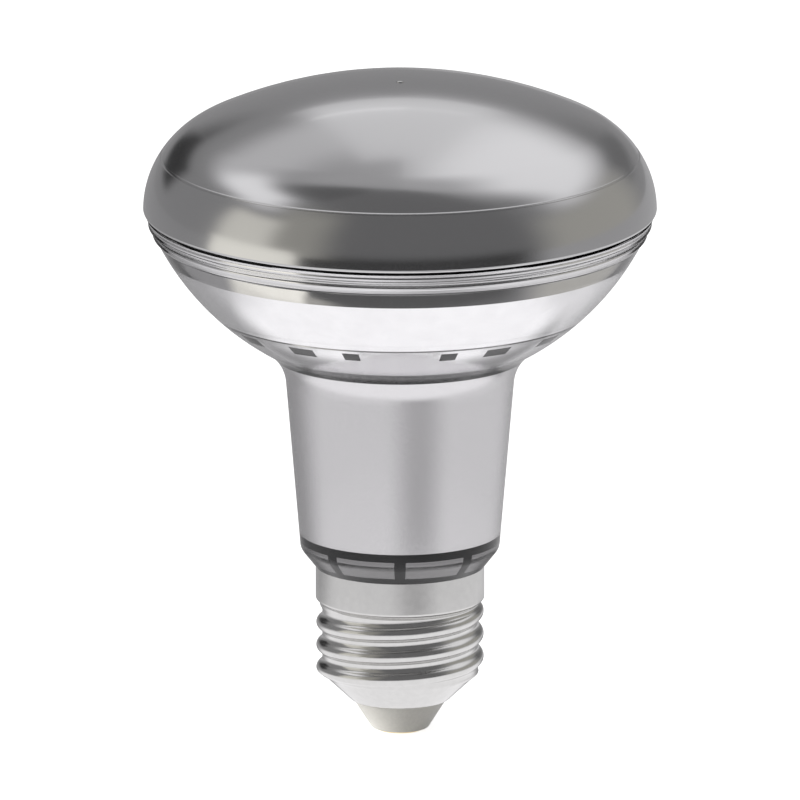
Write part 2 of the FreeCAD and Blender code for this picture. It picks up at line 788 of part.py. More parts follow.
# The metal sleeve in the neck, the light board and what holds it
def plate_holes(sketch, screw_radius):
    """Two screw holes across the board, and two holes for the output leads at its sides."""
    for side in (-1, 1):
        draw_circle(sketch, (ZERO, screw_place * side), screw_radius)
        draw_circle(sketch, (lead_place * side, board_middle), lead_hole)


def make_heat_sink():
    foot = neck_radius(sink_foot, s.sink_fit)
    head = neck_radius(sink_deck, s.sink_fit)
    foot_inside = foot - s.sink_wall
    corner = s.sink_round - s.sink_wall
    head_inside = neck_radius(deck_under - corner, s.sink_fit) - s.sink_wall
    body = section_body(
        "heat_sink",
        (
            (foot, sink_foot),
            (head, sink_deck),
            (ZERO, sink_deck),
            (ZERO, deck_under),
            (head_inside - corner, deck_under),
            (head_inside, deck_under - corner),
            (foot_inside, sink_foot),
        ),
        ((head, sink_deck, s.sink_round),),
    )
    holes = new_sketch(body, "deck_holes", "XY_Plane", sink_deck)
    plate_holes(holes, s.screw_radius)
    pushed(body, holes, s.deck_thickness, "Pocket")
    return body


def plate(name, radius, foot, thickness):
    """A round plate on the deck, with its two screw holes and its two lead holes."""
    body = new_body(name)
    disc = new_sketch(body, name + "_disc", "XY_Plane", foot)
    draw_circle(disc, (ZERO, ZERO), radius)
    plate_holes(disc, screw_hole)
    pushed(body, disc, thickness)
    return body


def make_chip(number, ring, angle):
    """One light chip, its long side across the radius."""
    chip = doc.addObject("Part::Box", "chip_%d" % number)
    bind(chip, "Length", s.chip_width)
    bind(chip, "Width", s.chip_length)
    bind(chip, "Height", s.chip_height)
    turn = Rotation(Vector(0, 0, 1), angle)
    chip.Placement = Placement(Vector(), turn)
    cosine = math.cos(math.radians(angle))
    sine = math.sin(math.radians(angle))
    inward = ring - s.chip_width / 2
    aside = -(s.chip_length / 2)
    bind(chip, "Placement.Base.x", inward * cosine - aside * sine)
    bind(chip, "Placement.Base.y", inward * sine + aside * cosine)
    bind(chip, "Placement.Base.z", board_top)
    return chip


def make_led_chips():
    chips = []
    for i in range(CHIPS_IN_RING):
        chips.append(make_chip(len(chips), chip_ring, CHIP_TURN + i * FULL_TURN / CHIPS_IN_RING))
    for i in range(CHIPS_INSIDE):
        chips.append(make_chip(len(chips), chip_inner_ring, CHIP_TURN + i * FULL_TURN / CHIPS_INSIDE))
    return group("led_chips", chips)


def group(name, pieces):
    """Separate solids of one kind in one node."""
    together = doc.addObject("Part::Compound", name)
    together.Label = name
    together.Links = pieces
    return together


def make_board_screws():
    screws = []
    for side in (-1, 1):
        body = new_body("screw_%s" % ("front" if side < 0 else "back"))
        head_top = board_top + s.screw_head_height
        turned(
            body,
            draw(
                new_sketch(body, body.Name + "_section"),
                (
                    (ZERO, board_top - s.screw_length),
                    (s.screw_radius, board_top - s.screw_length),
                    (s.screw_radius, board_top),
                    (s.screw_head, board_top),
                    (s.screw_head, head_top - s.screw_slot),
                    (s.screw_head - s.screw_slot, head_top),
                    (ZERO, head_top),
                ),
            ),
        )
        for number, (long_x, long_y) in enumerate(((1, 0), (0, 1))):
            cross = new_sketch(body, "%s_cross_%d" % (body.Name, number), "XY_Plane", head_top)
            half_width = s.screw_slot / 2
            x = s.screw_cross if long_x else half_width
            y = s.screw_cross if long_y else half_width
            draw(cross, ((-x, -y), (x, -y), (x, y), (-x, y)))
            pushed(body, cross, s.screw_slot, "Pocket")
        bind(body, "Placement.Base.y", screw_place * side)
        screws.append(body)
    return group("board_screws", screws)


def make_solder_joints():
    joints = []
    for side in (-1, 1):
        dome = doc.addObject("Part::Cone", "joint_%s" % ("left" if side < 0 else "right"))
        bind(dome, "Radius1", s.solder_radius)
        bind(dome, "Radius2", s.solder_tip)
        bind(dome, "Height", s.solder_height)
        bind(dome, "Placement.Base.x", lead_place * side)
        bind(dome, "Placement.Base.y", board_middle)
        bind(dome, "Placement.Base.z", board_top)
        joints.append(dome)
    return group("solder_joints", joints)


# The driver housing and the slotted ring round its foot
def make_driver_housing():
    wide_foot = neck_radius(sink_foot, housing_inset)
    wide_top = neck_radius(housing_top, housing_inset)
    half_wall = s.housing_wall / 2
    body = section_body(
        "driver_housing",
        (
            (housing_radius, housing_foot),
            (housing_radius, housing_waist),
            (wide_foot, sink_foot),
            (wide_top, housing_top),
            (wide_top - s.housing_wall, housing_top),
            (wide_foot - s.housing_wall, sink_foot + half_wall),
            (housing_bore, housing_waist + half_wall),
            (housing_bore, housing_foot),
        ),
    )
    low = ring_foot + s.slot_floor + s.finger_lift
    high = ring_top - s.finger_drop
    climb = (wide_foot - housing_radius) / (sink_foot - housing_waist)
    low_root = housing_radius + climb * (low - housing_waist) - half_wall
    high_root = housing_radius + climb * (high - housing_waist) - half_wall
    reach = neck_bore - s.finger_inset
    clear = shoulder_lift + s.ring_gap * shoulder_steepness
    finger = new_sketch(body, "finger")
    draw(
        finger,
        (
            (low_root, low),
            (shoulder_radius(low, clear), low),
            (reach, shoulder_height(reach, clear)),
            (reach, high),
            (high_root, high),
        ),
    )
    width = s.slot_width - s.finger_fit * 2
    pad = pushed(body, finger, width, both_ways=True)
    repeated(body, pad, SLOTS)
    return body


def make_retaining_ring():
    out_lift = shoulder_lift + s.ring_gap * shoulder_steepness
    in_lift = out_lift + s.ring_sheet * shoulder_steepness
    outer = neck_bore - s.ring_gap
    inner = outer - s.ring_sheet
    top_outer = neck_radius(ring_top, s.ring_gap)
    body = section_body(
        "retaining_ring",
        (
            (shoulder_radius(ring_foot, in_lift), ring_foot),
            (shoulder_radius(ring_foot, out_lift), ring_foot),
            (outer, shoulder_height(outer, out_lift)),
            (top_outer, ring_top),
            (top_outer - s.ring_sheet, ring_top),
            (inner, shoulder_height(inner, in_lift)),
        ),
    )
    # Slots, open at the top, cut from the axis outwards past the ring
    slot = new_sketch(body, "slot", "YZ_Plane")
    half = s.slot_width / 2
    low = ring_foot + s.slot_floor
    high = ring_top + s.ring_sheet
    draw(slot, ((-half, low), (half, low), (half, high), (-half, high)))
    cut = pushed(body, slot, neck_foot, "Pocket", backwards=True)
    repeated(body, cut, SLOTS)
    return body


# The driver board and its components
def make_driver_board():
    """A board with a tongue that reaches down into the cap, wider above the housing's waist."""
    step = sink_foot + s.housing_wall / 2
    tongue = housing_bore - s.driver_fit
    half = neck_radius(step, housing_inset) - s.housing_wall - s.driver_fit
    body = new_body("driver_board")
    outline = new_sketch(body, "driver_board_outline", "XZ_Plane", -board_back)
    draw(
        outline,
        (
            (-tongue, driver_foot),
            (tongue, driver_foot),
            (tongue, step),
            (half, step),
            (half, driver_top),
            (-half, driver_top),
            (-half, step),
            (-tongue, step),
        ),
    )
    pushed(body, outline, s.board_thickness)
    return body


# Heights of the components, one above the other
storage_foot = driver_foot + s.storage_lift
film_foot = storage_foot + s.storage_length + s.film_gap
core_foot = film_foot + s.film_height + s.core_gap
core_length = (s.winding_radius + s.core_room + s.core_limb) * 2
core_width = (s.winding_radius + s.core_cover) * 2
upper_foot = core_foot + s.core_height + s.upper_gap
fuse_foot = driver_foot + s.fuse_lift
bridge_foot = fuse_foot + s.fuse_length + s.bridge_gap
control_foot = bridge_foot + s.bridge_height + s.control_gap
board_face = -s.driver_front
part_face = board_face - s.part_gap
storage_radius = (housing_bore + part_face - s.storage_room) / 2


def place(piece, x, y, z):
    for axis, value in zip("xyz", (x, y, z)):
        bind(piece, "Placement.Base." + axis, value)


def make_can(name, radius, length, foot, x):
    """A capacitor's can, standing along the driver board, with its crimped groove."""
    can = section_body(
        name,
        (
            (ZERO, ZERO),
            (radius, ZERO),
            (radius, s.crimp_height - s.crimp_depth),
            (radius - s.crimp_depth, s.crimp_height),
            (radius, s.crimp_height + s.crimp_depth),
            (radius, length - s.crimp_depth),
            (radius - s.crimp_depth, length),
            (ZERO, length),
        ),
    )
    place(can, x, part_face - radius, foot)
    return can


def make_transformer():
    middle_y = part_face - core_width / 2
    half = core_length / 2
    block = box(
        "core_block",
        (-half, part_face - core_width, core_foot),
        (core_length, core_width, s.core_height),
    )
    window = box(
        "core_window",
        (s.core_limb - half, part_face - core_width, core_foot + s.core_limb),
        (core_length - s.core_limb * 2, core_width, s.core_height - s.core_limb * 2),
    )
    frame = doc.addObject("Part::Cut", "core_frame")
    frame.Base = block
    frame.Tool = window
    leg = doc.addObject("Part::Cylinder", "core_leg_round")
    bind(leg, "Radius", s.core_leg)
    bind(leg, "Height", s.core_height)
    place(leg, ZERO, middle_y, core_foot)
    core = doc.addObject("Part::MultiFuse", "transformer_core")
    core.Label = "transformer_core"
    core.Shapes = [frame, leg]
    window_height = s.core_height - s.core_limb * 2
    winding = section_body(
        "transformer_winding",
        (
            (s.core_leg + s.winding_fit, s.winding_fit),
            (s.winding_radius, s.winding_fit),
            (s.winding_radius, window_height - s.winding_fit),
            (s.core_leg + s.winding_fit, window_height - s.winding_fit),
        ),
    )
    place(winding, ZERO, middle_y, core_foot + s.core_limb)
    return [core, winding]


def make_choke():
    body = section_body(
        "drum_choke",
        (
            (ZERO, ZERO),
            (s.choke_radius, ZERO),
            (s.choke_radius, s.choke_flange),
            (s.choke_waist, s.choke_flange),
            (s.choke_waist, s.choke_height - s.choke_flange),
            (s.choke_radius, s.choke_height - s.choke_flange),
            (s.choke_radius, s.choke_height),
            (ZERO, s.choke_height),
        ),
    )
    place(body, -s.choke_place, part_face - s.choke_radius, upper_foot)
    return body


def make_fuse():
    """The resistor has a cap at each end, as long as it is thick, and a slimmer middle."""
    slim = s.fuse_radius - s.fuse_waist
    cap_end = s.fuse_radius + s.fuse_waist
    body = section_body(
        "fusible_resistor",
        (
            (ZERO, ZERO),
            (s.fuse_radius, ZERO),
            (s.fuse_radius, s.fuse_radius),
            (slim, cap_end),
            (slim, s.fuse_length - cap_end),
            (s.fuse_radius, s.fuse_length - s.fuse_radius),
            (s.fuse_radius, s.fuse_length),
            (ZERO, s.fuse_length),
        ),
    )
    place(body, ZERO, board_back + s.part_gap + s.fuse_radius, fuse_foot)
    return body


def make_flat_parts():
    """The block-shaped components: the film capacitor in front, the two chips behind."""
    film = box(
        "film_capacitor",
        (-(s.film_length / 2), board_face - s.film_width, film_foot),
        (s.film_length, s.film_width, s.film_height),
        "film_capacitor",
    )
    bridge = box(
        "bridge_rectifier",
        (-(s.bridge_length / 2), board_back, bridge_foot),
        (s.bridge_length, s.bridge_thickness, s.bridge_height),
        "bridge_rectifier",
    )
    control = box(
        "control_chip",
        (-(s.control_length / 2), board_back, control_foot),
        (s.control_length, s.control_thickness, s.control_height),
        "control_chip",
    )
    return [film, bridge, control]


def make_straight_lead(name, x, foot, head):
    """An insulated lead that runs straight up, in the middle plane of the driver board."""
    wire = doc.addObject("Part::Cylinder", name)
    wire.Label = name
    bind(wire, "Radius", s.lead_radius)
    bind(wire, "Height", head - foot)
    place(wire, x, board_middle, foot)
    return wire


def make_neutral_lead():
    """The lead from the driver board's bottom edge, bent out to the wall of the cap."""
    height = driver_foot - s.lead_run - s.lead_bend
    cap_bore = valley - s.cap_sheet
    end = cap_bore - s.part_gap
    body = new_body("neutral_lead")
    route = new_sketch(body, "neutral_route", "XZ_Plane", -board_middle)
    draw(
        route,
        (
            (s.neutral_place, driver_foot),
            (s.neutral_place, height + s.lead_bend),
            (s.neutral_place + s.lead_bend, height, s.lead_bend, "left"),
            (end, height),
        ),
        closed=False,
    )
    across = new_sketch(body, "neutral_across", "XY_Plane", driver_foot)
    draw_circle(across, (s.neutral_place, board_middle), s.lead_radius)
    doc.recompute()
    pipe = body.newObject("PartDesign::AdditivePipe", "neutral_pipe")
    pipe.Profile = across
    pipe.Spine = (route, ["Edge%d" % (i + 1) for i in range(len(route.Shape.Edges))])
    body.Tip = pipe
    doc.recompute()
    return body


def make_output_leads():
    leads = []
    for side in (-1, 1):
        name = "output_%s" % ("left" if side < 0 else "right")
        leads.append(make_straight_lead(name, lead_place * side, driver_top, board_top))
    return group("output_leads", leads)


NODES = [
    make_cap_shell(),
    make_centre_contact(),
    make_cap_insulator(),
    make_clear_body(),
    make_lens_seal(),
    make_reflector_cup(),
    make_front_lens(),
    make_heat_sink(),
    plate("thermal_pad", pad_radius, sink_deck, s.pad_thickness),
    plate("led_board", board_radius, pad_top, s.board_thickness),
    make_led_chips(),
    make_board_screws(),
    make_solder_joints(),
    make_driver_housing(),
    make_retaining_ring(),
    make_driver_board(),
    make_can("storage_capacitor", storage_radius, s.storage_length, storage_foot, ZERO),
    make_can("output_capacitor", s.output_radius, s.output_length, upper_foot, s.output_place),
    *make_transformer(),
    make_choke(),
    make_fuse(),
    *make_flat_parts(),
    make_straight_lead("live_lead", ZERO, rivet_top, driver_foot),
    make_neutral_lead(),
    make_output_leads(),
]

doc.recompute()

# Nothing is written unless every object is sound
for thing in doc.Objects:
    if {"Invalid", "Error"} & set(thing.State):
        raise RuntimeError("%s failed: %s" % (thing.Name, thing.State))
for node in NODES:
    if node.Shape.isNull() or not node.Shape.isValid() or not node.Shape.Solids:
        raise RuntimeError("%s has no sound solid" % node.Label)

os.makedirs("parts", exist_ok=True)
for node in NODES:
    node.Shape.exportStep(os.path.join("parts", node.Label + ".step"))
    print("%-22s solids %2d  volume %9.1f" % (node.Label, len(node.Shape.Solids), node.Shape.Volume))
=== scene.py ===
"""Reflector lamp with a screw cap, dressed for rendering.

Lengths are in millimetres and are turned into metres when a mesh is made. Radii are measured from the
lamp's axis and heights up from its contact. Named angles are in degrees.
"""

import math

import bmesh
import bpy
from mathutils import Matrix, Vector


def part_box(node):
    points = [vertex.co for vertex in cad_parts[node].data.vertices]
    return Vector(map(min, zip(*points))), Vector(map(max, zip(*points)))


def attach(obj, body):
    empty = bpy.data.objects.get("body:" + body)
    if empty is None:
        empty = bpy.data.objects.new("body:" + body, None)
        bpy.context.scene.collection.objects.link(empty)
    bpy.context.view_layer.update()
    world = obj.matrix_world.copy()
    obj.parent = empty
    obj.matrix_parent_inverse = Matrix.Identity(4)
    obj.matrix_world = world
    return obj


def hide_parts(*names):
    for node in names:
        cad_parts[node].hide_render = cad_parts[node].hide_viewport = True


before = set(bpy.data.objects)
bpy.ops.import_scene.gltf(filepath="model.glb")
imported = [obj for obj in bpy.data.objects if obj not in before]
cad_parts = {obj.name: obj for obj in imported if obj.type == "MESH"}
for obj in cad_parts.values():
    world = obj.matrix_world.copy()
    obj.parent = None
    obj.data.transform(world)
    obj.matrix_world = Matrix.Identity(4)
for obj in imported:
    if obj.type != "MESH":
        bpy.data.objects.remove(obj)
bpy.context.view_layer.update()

MM = 0.001
# Sides of a turned piece, degrees between points on an arc, and the radius that counts as the axis
ROUND = 256
ARC_STEP = 2.0
TINY = 1e-6
# Angles above which an edge stays sharp: on most pieces, on the bowl's moulded steps, and on the cap
SHARP = 35
SHARP_STEPS = 12
SHARP_CAP = 50


def span(node):
    """Lowest height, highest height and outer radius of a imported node, in millimetres."""
    low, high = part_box(node)
    return low[2] / MM, high[2] / MM, high[0] / MM


# Sizes read from the frame
body_foot, mouth_height, mouth_radius = span("clear_body")
seal_foot, seal_top, seal_radius = span("lens_seal")
lens_foot, _, lens_radius = span("front_lens")
sink_foot, sink_deck, _ = span("heat_sink")
lip_height, cap_top, skirt_radius = span("cap_shell")
ring_foot, _, _ = span("retaining_ring")
_, plug_top, plug_radius = span("cap_insulator")

# Sizes of the clear body
WALL = 1.2
SHELF = 13.2
NECK_FOOT = 15.5
SHOULDER_RISE = 2.9
NECK_HEAD = 18.12
BOWL_HEIGHT = 22.85
SHOULDER_ROUND = 2.0
THROAT_ROUND = 7.5
# Two beads round the bowl's outside: the lower one's depth under the mouth and the other's rise over it
BEADS = (3.0, 1.5)
BEAD = 0.3
# Play of the collar in the cap and of the lens's spigot in the gasket
PLAY = 0.1

# Gasket: from the inside of the bowl's wall to its own inside
SEAL_WIDTH = 0.75

# Lens
LENS_DOME = 73.9
LENS_CORNER = 14.9
LENS_STRAIGHT = 0.33
LENS_EDGE = 0.6
LENS_WALL = 2.0
LENS_SIDE = 4.0
LENS_INNER_CORNER = 9.0
# The fine line round the lens: its inset from the edge, its depth, and half its width over its depth
CREASE_INSET = 2.73
CREASE = 0.16
CREASE_FLARE = 1.5
# The mark that the mould's gate left in the middle
GATE_RADIUS = 0.55
GATE_HEIGHT = 0.22

# Reflector and sleeve
CUP_SHEET = 0.6
CUP_ROUND = 3.0
# From the wall to the reflector's smooth inside, which clears the steps
CUP_DEPTH = CUP_SHEET * 3
THROAT_RADIUS = 12.27
# Optical contact: the gap between the clear wall and what lies against it
BOND = 0.02
# Faces moulded into the inside of the bowl, from the top: highest and lowest height, and how far the
# face leans out for each millimetre of its height
STEPS = (
    (82.2, 81.9, 0.08),
    (81.6, 80.3, 0.1),
    (79.7, 76.75, 0.13),
    (68.3, 68.0, 0.2),
)
# The groove between the sleeve and the foot of the reflector, darkened by a black lining of painted
# shade, and how far that lining reaches past it
GROOVE = (60.5, 62.5)
SHADE_LINING_LAP = 0.1
# Black pads of painted dark reflection at the foot of the reflector, alike in each quarter: angle either
# side of the quarter's middle and width, both in degrees, and then their lowest and highest height
REFLECTION_PADS = ((16, 5.5), (33.5, 9))
REFLECTION_PAD_SPAN = (66.1, 67.5)
REFLECTION_PAD_STEPS = 6
# Sleeve: width of its upper rim, and how far under the throat its inside bends in towards the deck
SINK_WALL = 0.8
SINK_RIM = SINK_WALL * 2
SINK_BEND = 6
SINK_ROUND = 0.1
DECK = 1.0

# Cap
PITCH = 3.629
THREAD_RADIUS = 13.05
THREAD_DEPTH = 0.95
CREST_HEIGHT = 19.0
THREAD_FOOT = 8.4
RUN_IN = 1.5
CONE_TOP = 9.2
LIP_RADIUS = 7.8
THREAD_HEAD = 20.9
SKIRT_LOW = 20.2
SKIRT_SWELL = 1.15
CAP_SHEET = 0.35
CAP_ROWS = 200
CAP_ROUND = ROUND * 3 // 4

# Insulator: the hole for the contact's rivet, the flat tip, the cone's top, and the ledge inside the cap
RIVET_RADIUS = 1.25
TIP_FOOT = 0.3
TIP_RADIUS = 4.4
TIP_ROUND = 0.8
CONE_RADIUS = 7.4
LEDGE_RADIUS = 7.2
LEDGE_RISE = 0.02
PLUG_RIM = 0.5

# Slotted ring behind the shoulder, and the dark moulding that shows in its slots and over it
SLOTS = 8
SLOT_WIDTH = 1.9
RING_STEPS = 16
RING_SHEET = 0.5
RING_LIFT = 0.4
RING_HEAD = 30.3
BAND_LIFT = 0.15
BAND_HEAD = 31.62

neck_foot_height = cap_top + SHOULDER_RISE
throat_height = mouth_height - BOWL_HEIGHT
bowl_centre = (mouth_height + throat_height + (mouth_radius**2 - NECK_HEAD**2) / BOWL_HEIGHT) / 2
bowl_radius = math.hypot(mouth_radius, bowl_centre - mouth_height)


def ring_on_sphere(radius, height):
    """Radius of the ring at one height on a sphere round the bowl's centre."""
    return math.sqrt(radius**2 - (bowl_centre - height) ** 2)


# Outlines: lists of (radius, height)
def arc(centre, radius, start, end):
    """Points on a circle from one angle to another, both in radians."""
    count = max(2, math.ceil(abs(end - start) / math.radians(ARC_STEP)))
    angles = [start + (end - start) * i / count for i in range(count + 1)]
    return [(centre[0] + radius * math.cos(a), centre[1] + radius * math.sin(a)) for a in angles]


def eased(corners):
    """An outline through corners; a corner's third number is the radius of its rounding."""
    outline = []
    for i, corner in enumerate(corners):
        if len(corner) == 2:
            outline.append(corner)
            continue
        here = Vector(corner[:2])
        back = (Vector(corners[i - 1][:2]) - here).normalized()
        ahead = (Vector(corners[(i + 1) % len(corners)][:2]) - here).normalized()
        half = back.angle(ahead) / 2
        middle = here + (back + ahead).normalized() * (corner[2] / math.sin(half))
        first = here + back * (corner[2] / math.tan(half)) - middle
        last = here + ahead * (corner[2] / math.tan(half)) - middle
        start = math.atan2(first.y, first.x)
        sweep = first.angle_signed(last)
        outline.extend(arc(middle, corner[2], start, start - sweep))
    return outline


def sphere_run(radius, low, high):
    """The bowl's sphere, or one inside it, from one height up to another."""
    start = math.asin((low - bowl_centre) / radius)
    end = math.asin((high - bowl_centre) / radius)
    return arc((0, bowl_centre), radius, start, end)


neck_low = Vector((NECK_FOOT, neck_foot_height))
neck_high = Vector((NECK_HEAD, throat_height))
neck_way = (neck_high - neck_low).normalized()
neck_out = Vector((neck_way.y, -neck_way.x))
offset = neck_low + neck_out * THROAT_ROUND - Vector((0, bowl_centre))
along = offset.dot(neck_way)
reach = bowl_radius + THROAT_ROUND
climb = -along - math.sqrt(along**2 - offset.length_squared + reach**2)
throat_centre = neck_low + neck_way * climb + neck_out * THROAT_ROUND
to_throat = (throat_centre - Vector((0, bowl_centre))).normalized()


def throat_run(inset):
    """The hollow between neck and bowl, inset from the outside of the wall, from the neck up."""
    radius = THROAT_ROUND + inset
    start = math.atan2(-neck_out.y, -neck_out.x)
    end = math.atan2(-to_throat.y, -to_throat.x)
    if end < start - math.pi:
        end += 2 * math.pi
    if end > start + math.pi:
        end -= 2 * math.pi
    return arc(throat_centre, radius, start, end)


def neck_radius(height, inset):
    """Radius of the neck's wall at one height, inset from its outside."""
    return neck_low.x + (height - neck_low.y) * neck_way.x / neck_way.y - inset / neck_way.y


def shoulder_height(radius, inset):
    """Height of the shoulder's slant at one radius, raised through the wall by inset."""
    slope = SHOULDER_RISE / (NECK_FOOT - SHELF)
    return cap_top + slope * (radius - SHELF) + inset * math.hypot(1, slope)


# Meshes
def piece(name, points, faces, sharp=SHARP):
    """A smooth mesh object, from points in millimetres."""
    mesh = bpy.data.meshes.new(name)
    mesh.from_pydata([tuple(v * MM for v in p) for p in points], [], faces)
    work = bmesh.new()
    work.from_mesh(mesh)
    bmesh.ops.recalc_face_normals(work, faces=work.faces)
    work.to_mesh(mesh)
    work.free()
    mesh.polygons.foreach_set("use_smooth", [True] * len(mesh.polygons))
    mesh.set_sharp_from_angle(angle=math.radians(sharp))
    thing = bpy.data.objects.new(name, mesh)
    bpy.context.scene.collection.objects.link(thing)
    return thing


def turned(name, outline, sharp=SHARP):
    """A closed half section turned round the axis."""
    points, rings, faces = [], [], []
    for radius, height in outline:
        if radius < TINY:
            rings.append([len(points)] * ROUND)
            points.append((0, 0, height))
            continue
        rings.append(list(range(len(points), len(points) + ROUND)))
        for i in range(ROUND):
            angle = 2 * math.pi * i / ROUND
            points.append((radius * math.cos(angle), radius * math.sin(angle), height))
    for low, high in zip(rings, rings[1:] + rings[:1]):
        for i in range(ROUND):
            j = (i + 1) % ROUND
            corners = list(dict.fromkeys((low[i], low[j], high[j], high[i])))
            if len(corners) > 2:
                faces.append(corners)
    return piece(name, points, faces, sharp)


def panels(name, outline, spans, steps):
    """A closed half section swept between pairs of angles, with closed ends, as one piece."""
    points, faces = [], []
    count = len(outline)
    for first, last in spans:
        base = len(points)
        for i in range(steps + 1):
            angle = math.radians(first + (last - first) * i / steps)
            points += [(r * math.cos(angle), r * math.sin(angle), z) for r, z in outline]
        for i in range(steps):
            low, high = base + i * count, base + (i + 1) * count
            for j in range(count):
                k = (j + 1) % count
                faces.append((low + j, low + k, high + k, high + j))
        for end in (base, base + steps * count):
            faces.append(tuple(range(end, end + count)))
    return piece(name, points, faces)


# Materials
NOISE_DETAIL = 4.0
TINT_SPAN = (0.35, 0.65)
# How far roughness varies either way, and how dark the darker parts are, as shares
METAL_SPREAD = 0.2
PLASTIC_SPREAD = 0.15
CLEAR_SPREAD = 0.5
METAL_DARK = 0.96
PLASTIC_DARK = 0.94


def principled(name, **sockets):
    """A material with a Principled shader; keyword names are its sockets, with _ for a space."""
    material = bpy.data.materials.new(name)
    material.use_nodes = True
    shader = material.node_tree.nodes["Principled BSDF"]
    for socket, value in sockets.items():
        shader.inputs[socket.replace("_", " ")].default_value = value
    return material, shader


def grain(material, shader, size, depth, rough, tint=None):
    """Noise of one grain size in millimetres: bump of a depth in millimetres, a range of roughness,
    and two colours that the surface runs between."""
    nodes, links = material.node_tree.nodes, material.node_tree.links
    place = nodes.new("ShaderNodeTexCoord")
    noise = nodes.new("ShaderNodeTexNoise")
    noise.inputs["Scale"].default_value = 1 / (size * MM)
    noise.inputs["Detail"].default_value = NOISE_DETAIL
    links.new(place.outputs["Object"], noise.inputs["Vector"])
    bump = nodes.new("ShaderNodeBump")
    bump.inputs["Strength"].default_value = 1.0
    bump.inputs["Distance"].default_value = depth * MM
    links.new(noise.outputs["Fac"], bump.inputs["Height"])
    links.new(bump.outputs["Normal"], shader.inputs["Normal"])
    spread = nodes.new("ShaderNodeMapRange")
    spread.inputs["To Min"].default_value = rough[0]
    spread.inputs["To Max"].default_value = rough[1]
    links.new(noise.outputs["Fac"], spread.inputs["Value"])
    links.new(spread.outputs["Result"], shader.inputs["Roughness"])
    if tint:
        ramp = nodes.new("ShaderNodeValToRGB")
        for element, position, colour in zip(ramp.color_ramp.elements, TINT_SPAN, tint):
            element.position = position
            element.color = rgba(*colour)
        links.new(noise.outputs["Fac"], ramp.inputs["Fac"])
        links.new(ramp.outputs["Color"], shader.inputs["Base Color"])


def rgba(red, green, blue):
    """A colour as a socket holds it."""
    return (red, green, blue, 1.0)


def around(value, spread):
    """The range that reaches a share of a value below it and above it."""
    return value * (1 - spread), value * (1 + spread)


def metal(name, colour, roughness, depth, size):
    """Metal with a fine grain: its roughness and colour vary a little over the surface."""
    material, shader = principled(name, Base_Color=rgba(*colour), Metallic=1.0, Roughness=roughness)
    darker = tuple(c * METAL_DARK for c in colour)
    grain(material, shader, size, depth, around(roughness, METAL_SPREAD), (darker, colour))
    return material


def plastic(name, colour, roughness, depth, size, gloss=0.5):
    """Moulded plastic, card or coating with a fine grain."""
    material, shader = principled(
        name, Base_Color=rgba(*colour), Roughness=roughness, Specular_IOR_Level=gloss
    )
    darker = tuple(c * PLASTIC_DARK for c in colour)
    grain(material, shader, size, depth, around(roughness, PLASTIC_SPREAD), (darker, colour))
    return material


def clear(name, colour, roughness, depth, size, ior):
    """Clear moulding with the faint waviness of its mould."""
    material, shader = principled(
        name, Base_Color=rgba(*colour), Roughness=roughness, Transmission_Weight=1.0, IOR=ior
    )
    grain(material, shader, size, depth, around(roughness, CLEAR_SPREAD))
    return material


clear_body_look = clear("clear_body_look", (0.985, 0.98, 0.985), 0.01, 0.001, 9.0, 1.5)
lens_look, lens_shader = principled(
    "lens_look",
    Base_Color=rgba(0.62, 0.62, 0.625),
    Metallic=1.0,
    Roughness=0.18,
    Coat_Weight=1.0,
    Coat_Roughness=0.03,
    Coat_IOR=1.5,
)
grain(lens_look, lens_shader, 14.0, 0.002, (0.16, 0.20))
mirror_look = metal("mirror_look", (0.88, 0.88, 0.885), 0.05, 0.0006, 4.0)
sleeve_look = metal("sleeve_look", (0.74, 0.735, 0.743), 0.13, 0.0002, 0.25)
nickel_look = metal("nickel_look", (0.67, 0.667, 0.656), 0.17, 0.001, 1.2)
ring_look = metal("ring_look", (0.22, 0.218, 0.22), 0.16, 0.0003, 0.5)
# Black of the gasket, also used for the painted shade in the groove under the reflector and the painted
# dark reflections at its foot
seal_and_painted_dark_look = plastic("seal_and_painted_dark_look", (0.008, 0.008, 0.008), 0.6, 0.01, 0.3, gloss=0.0)
insulator_look = plastic("insulator_look", (0.70, 0.68, 0.63), 0.38, 0.004, 0.5)
housing_look = plastic("housing_look", (0.012, 0.012, 0.013), 0.45, 0.006, 0.4, gloss=0.05)
contact_look = metal("contact_look", (0.78, 0.66, 0.42), 0.25, 0.004, 0.6)
steel_look = metal("steel_look", (0.60, 0.60, 0.61), 0.3, 0.004, 0.4)
solder_look = metal("solder_look", (0.72, 0.72, 0.73), 0.25, 0.01, 0.5)
board_look = plastic("board_look", (0.86, 0.86, 0.83), 0.35, 0.002, 0.4)
chip_look = plastic("chip_look", (0.90, 0.62, 0.10), 0.3, 0.004, 0.3)
pad_look = plastic("pad_look", (0.45, 0.47, 0.5), 0.7, 0.01, 0.4)
laminate_look = plastic("laminate_look", (0.03, 0.20, 0.08), 0.35, 0.003, 0.5)
can_look = plastic("can_look", (0.03, 0.03, 0.035), 0.3, 0.003, 0.8)
film_look = plastic("film_look", (0.72, 0.50, 0.05), 0.35, 0.004, 0.6)
ferrite_look = plastic("ferrite_look", (0.06, 0.06, 0.065), 0.5, 0.01, 0.3)
winding_look = plastic("winding_look", (0.72, 0.45, 0.10), 0.4, 0.01, 0.3)
epoxy_look = plastic("epoxy_look", (0.02, 0.02, 0.022), 0.5, 0.006, 0.2)
coating_look = plastic("coating_look", (0.12, 0.30, 0.42), 0.35, 0.006, 0.4)
red_look = plastic("red_look", (0.45, 0.02, 0.02), 0.4, 0.003, 0.5)
white_look = plastic("white_look", (0.80, 0.80, 0.78), 0.4, 0.003, 0.5)


def add_piece(thing, material, slot, *nodes):
    """Give a piece its material and body, and hide the imported nodes that it stands for, if any. The
    slot is not used.
    """
    thing.data.materials.append(material)
    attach(thing, "root")
    if nodes:
        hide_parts(*nodes)


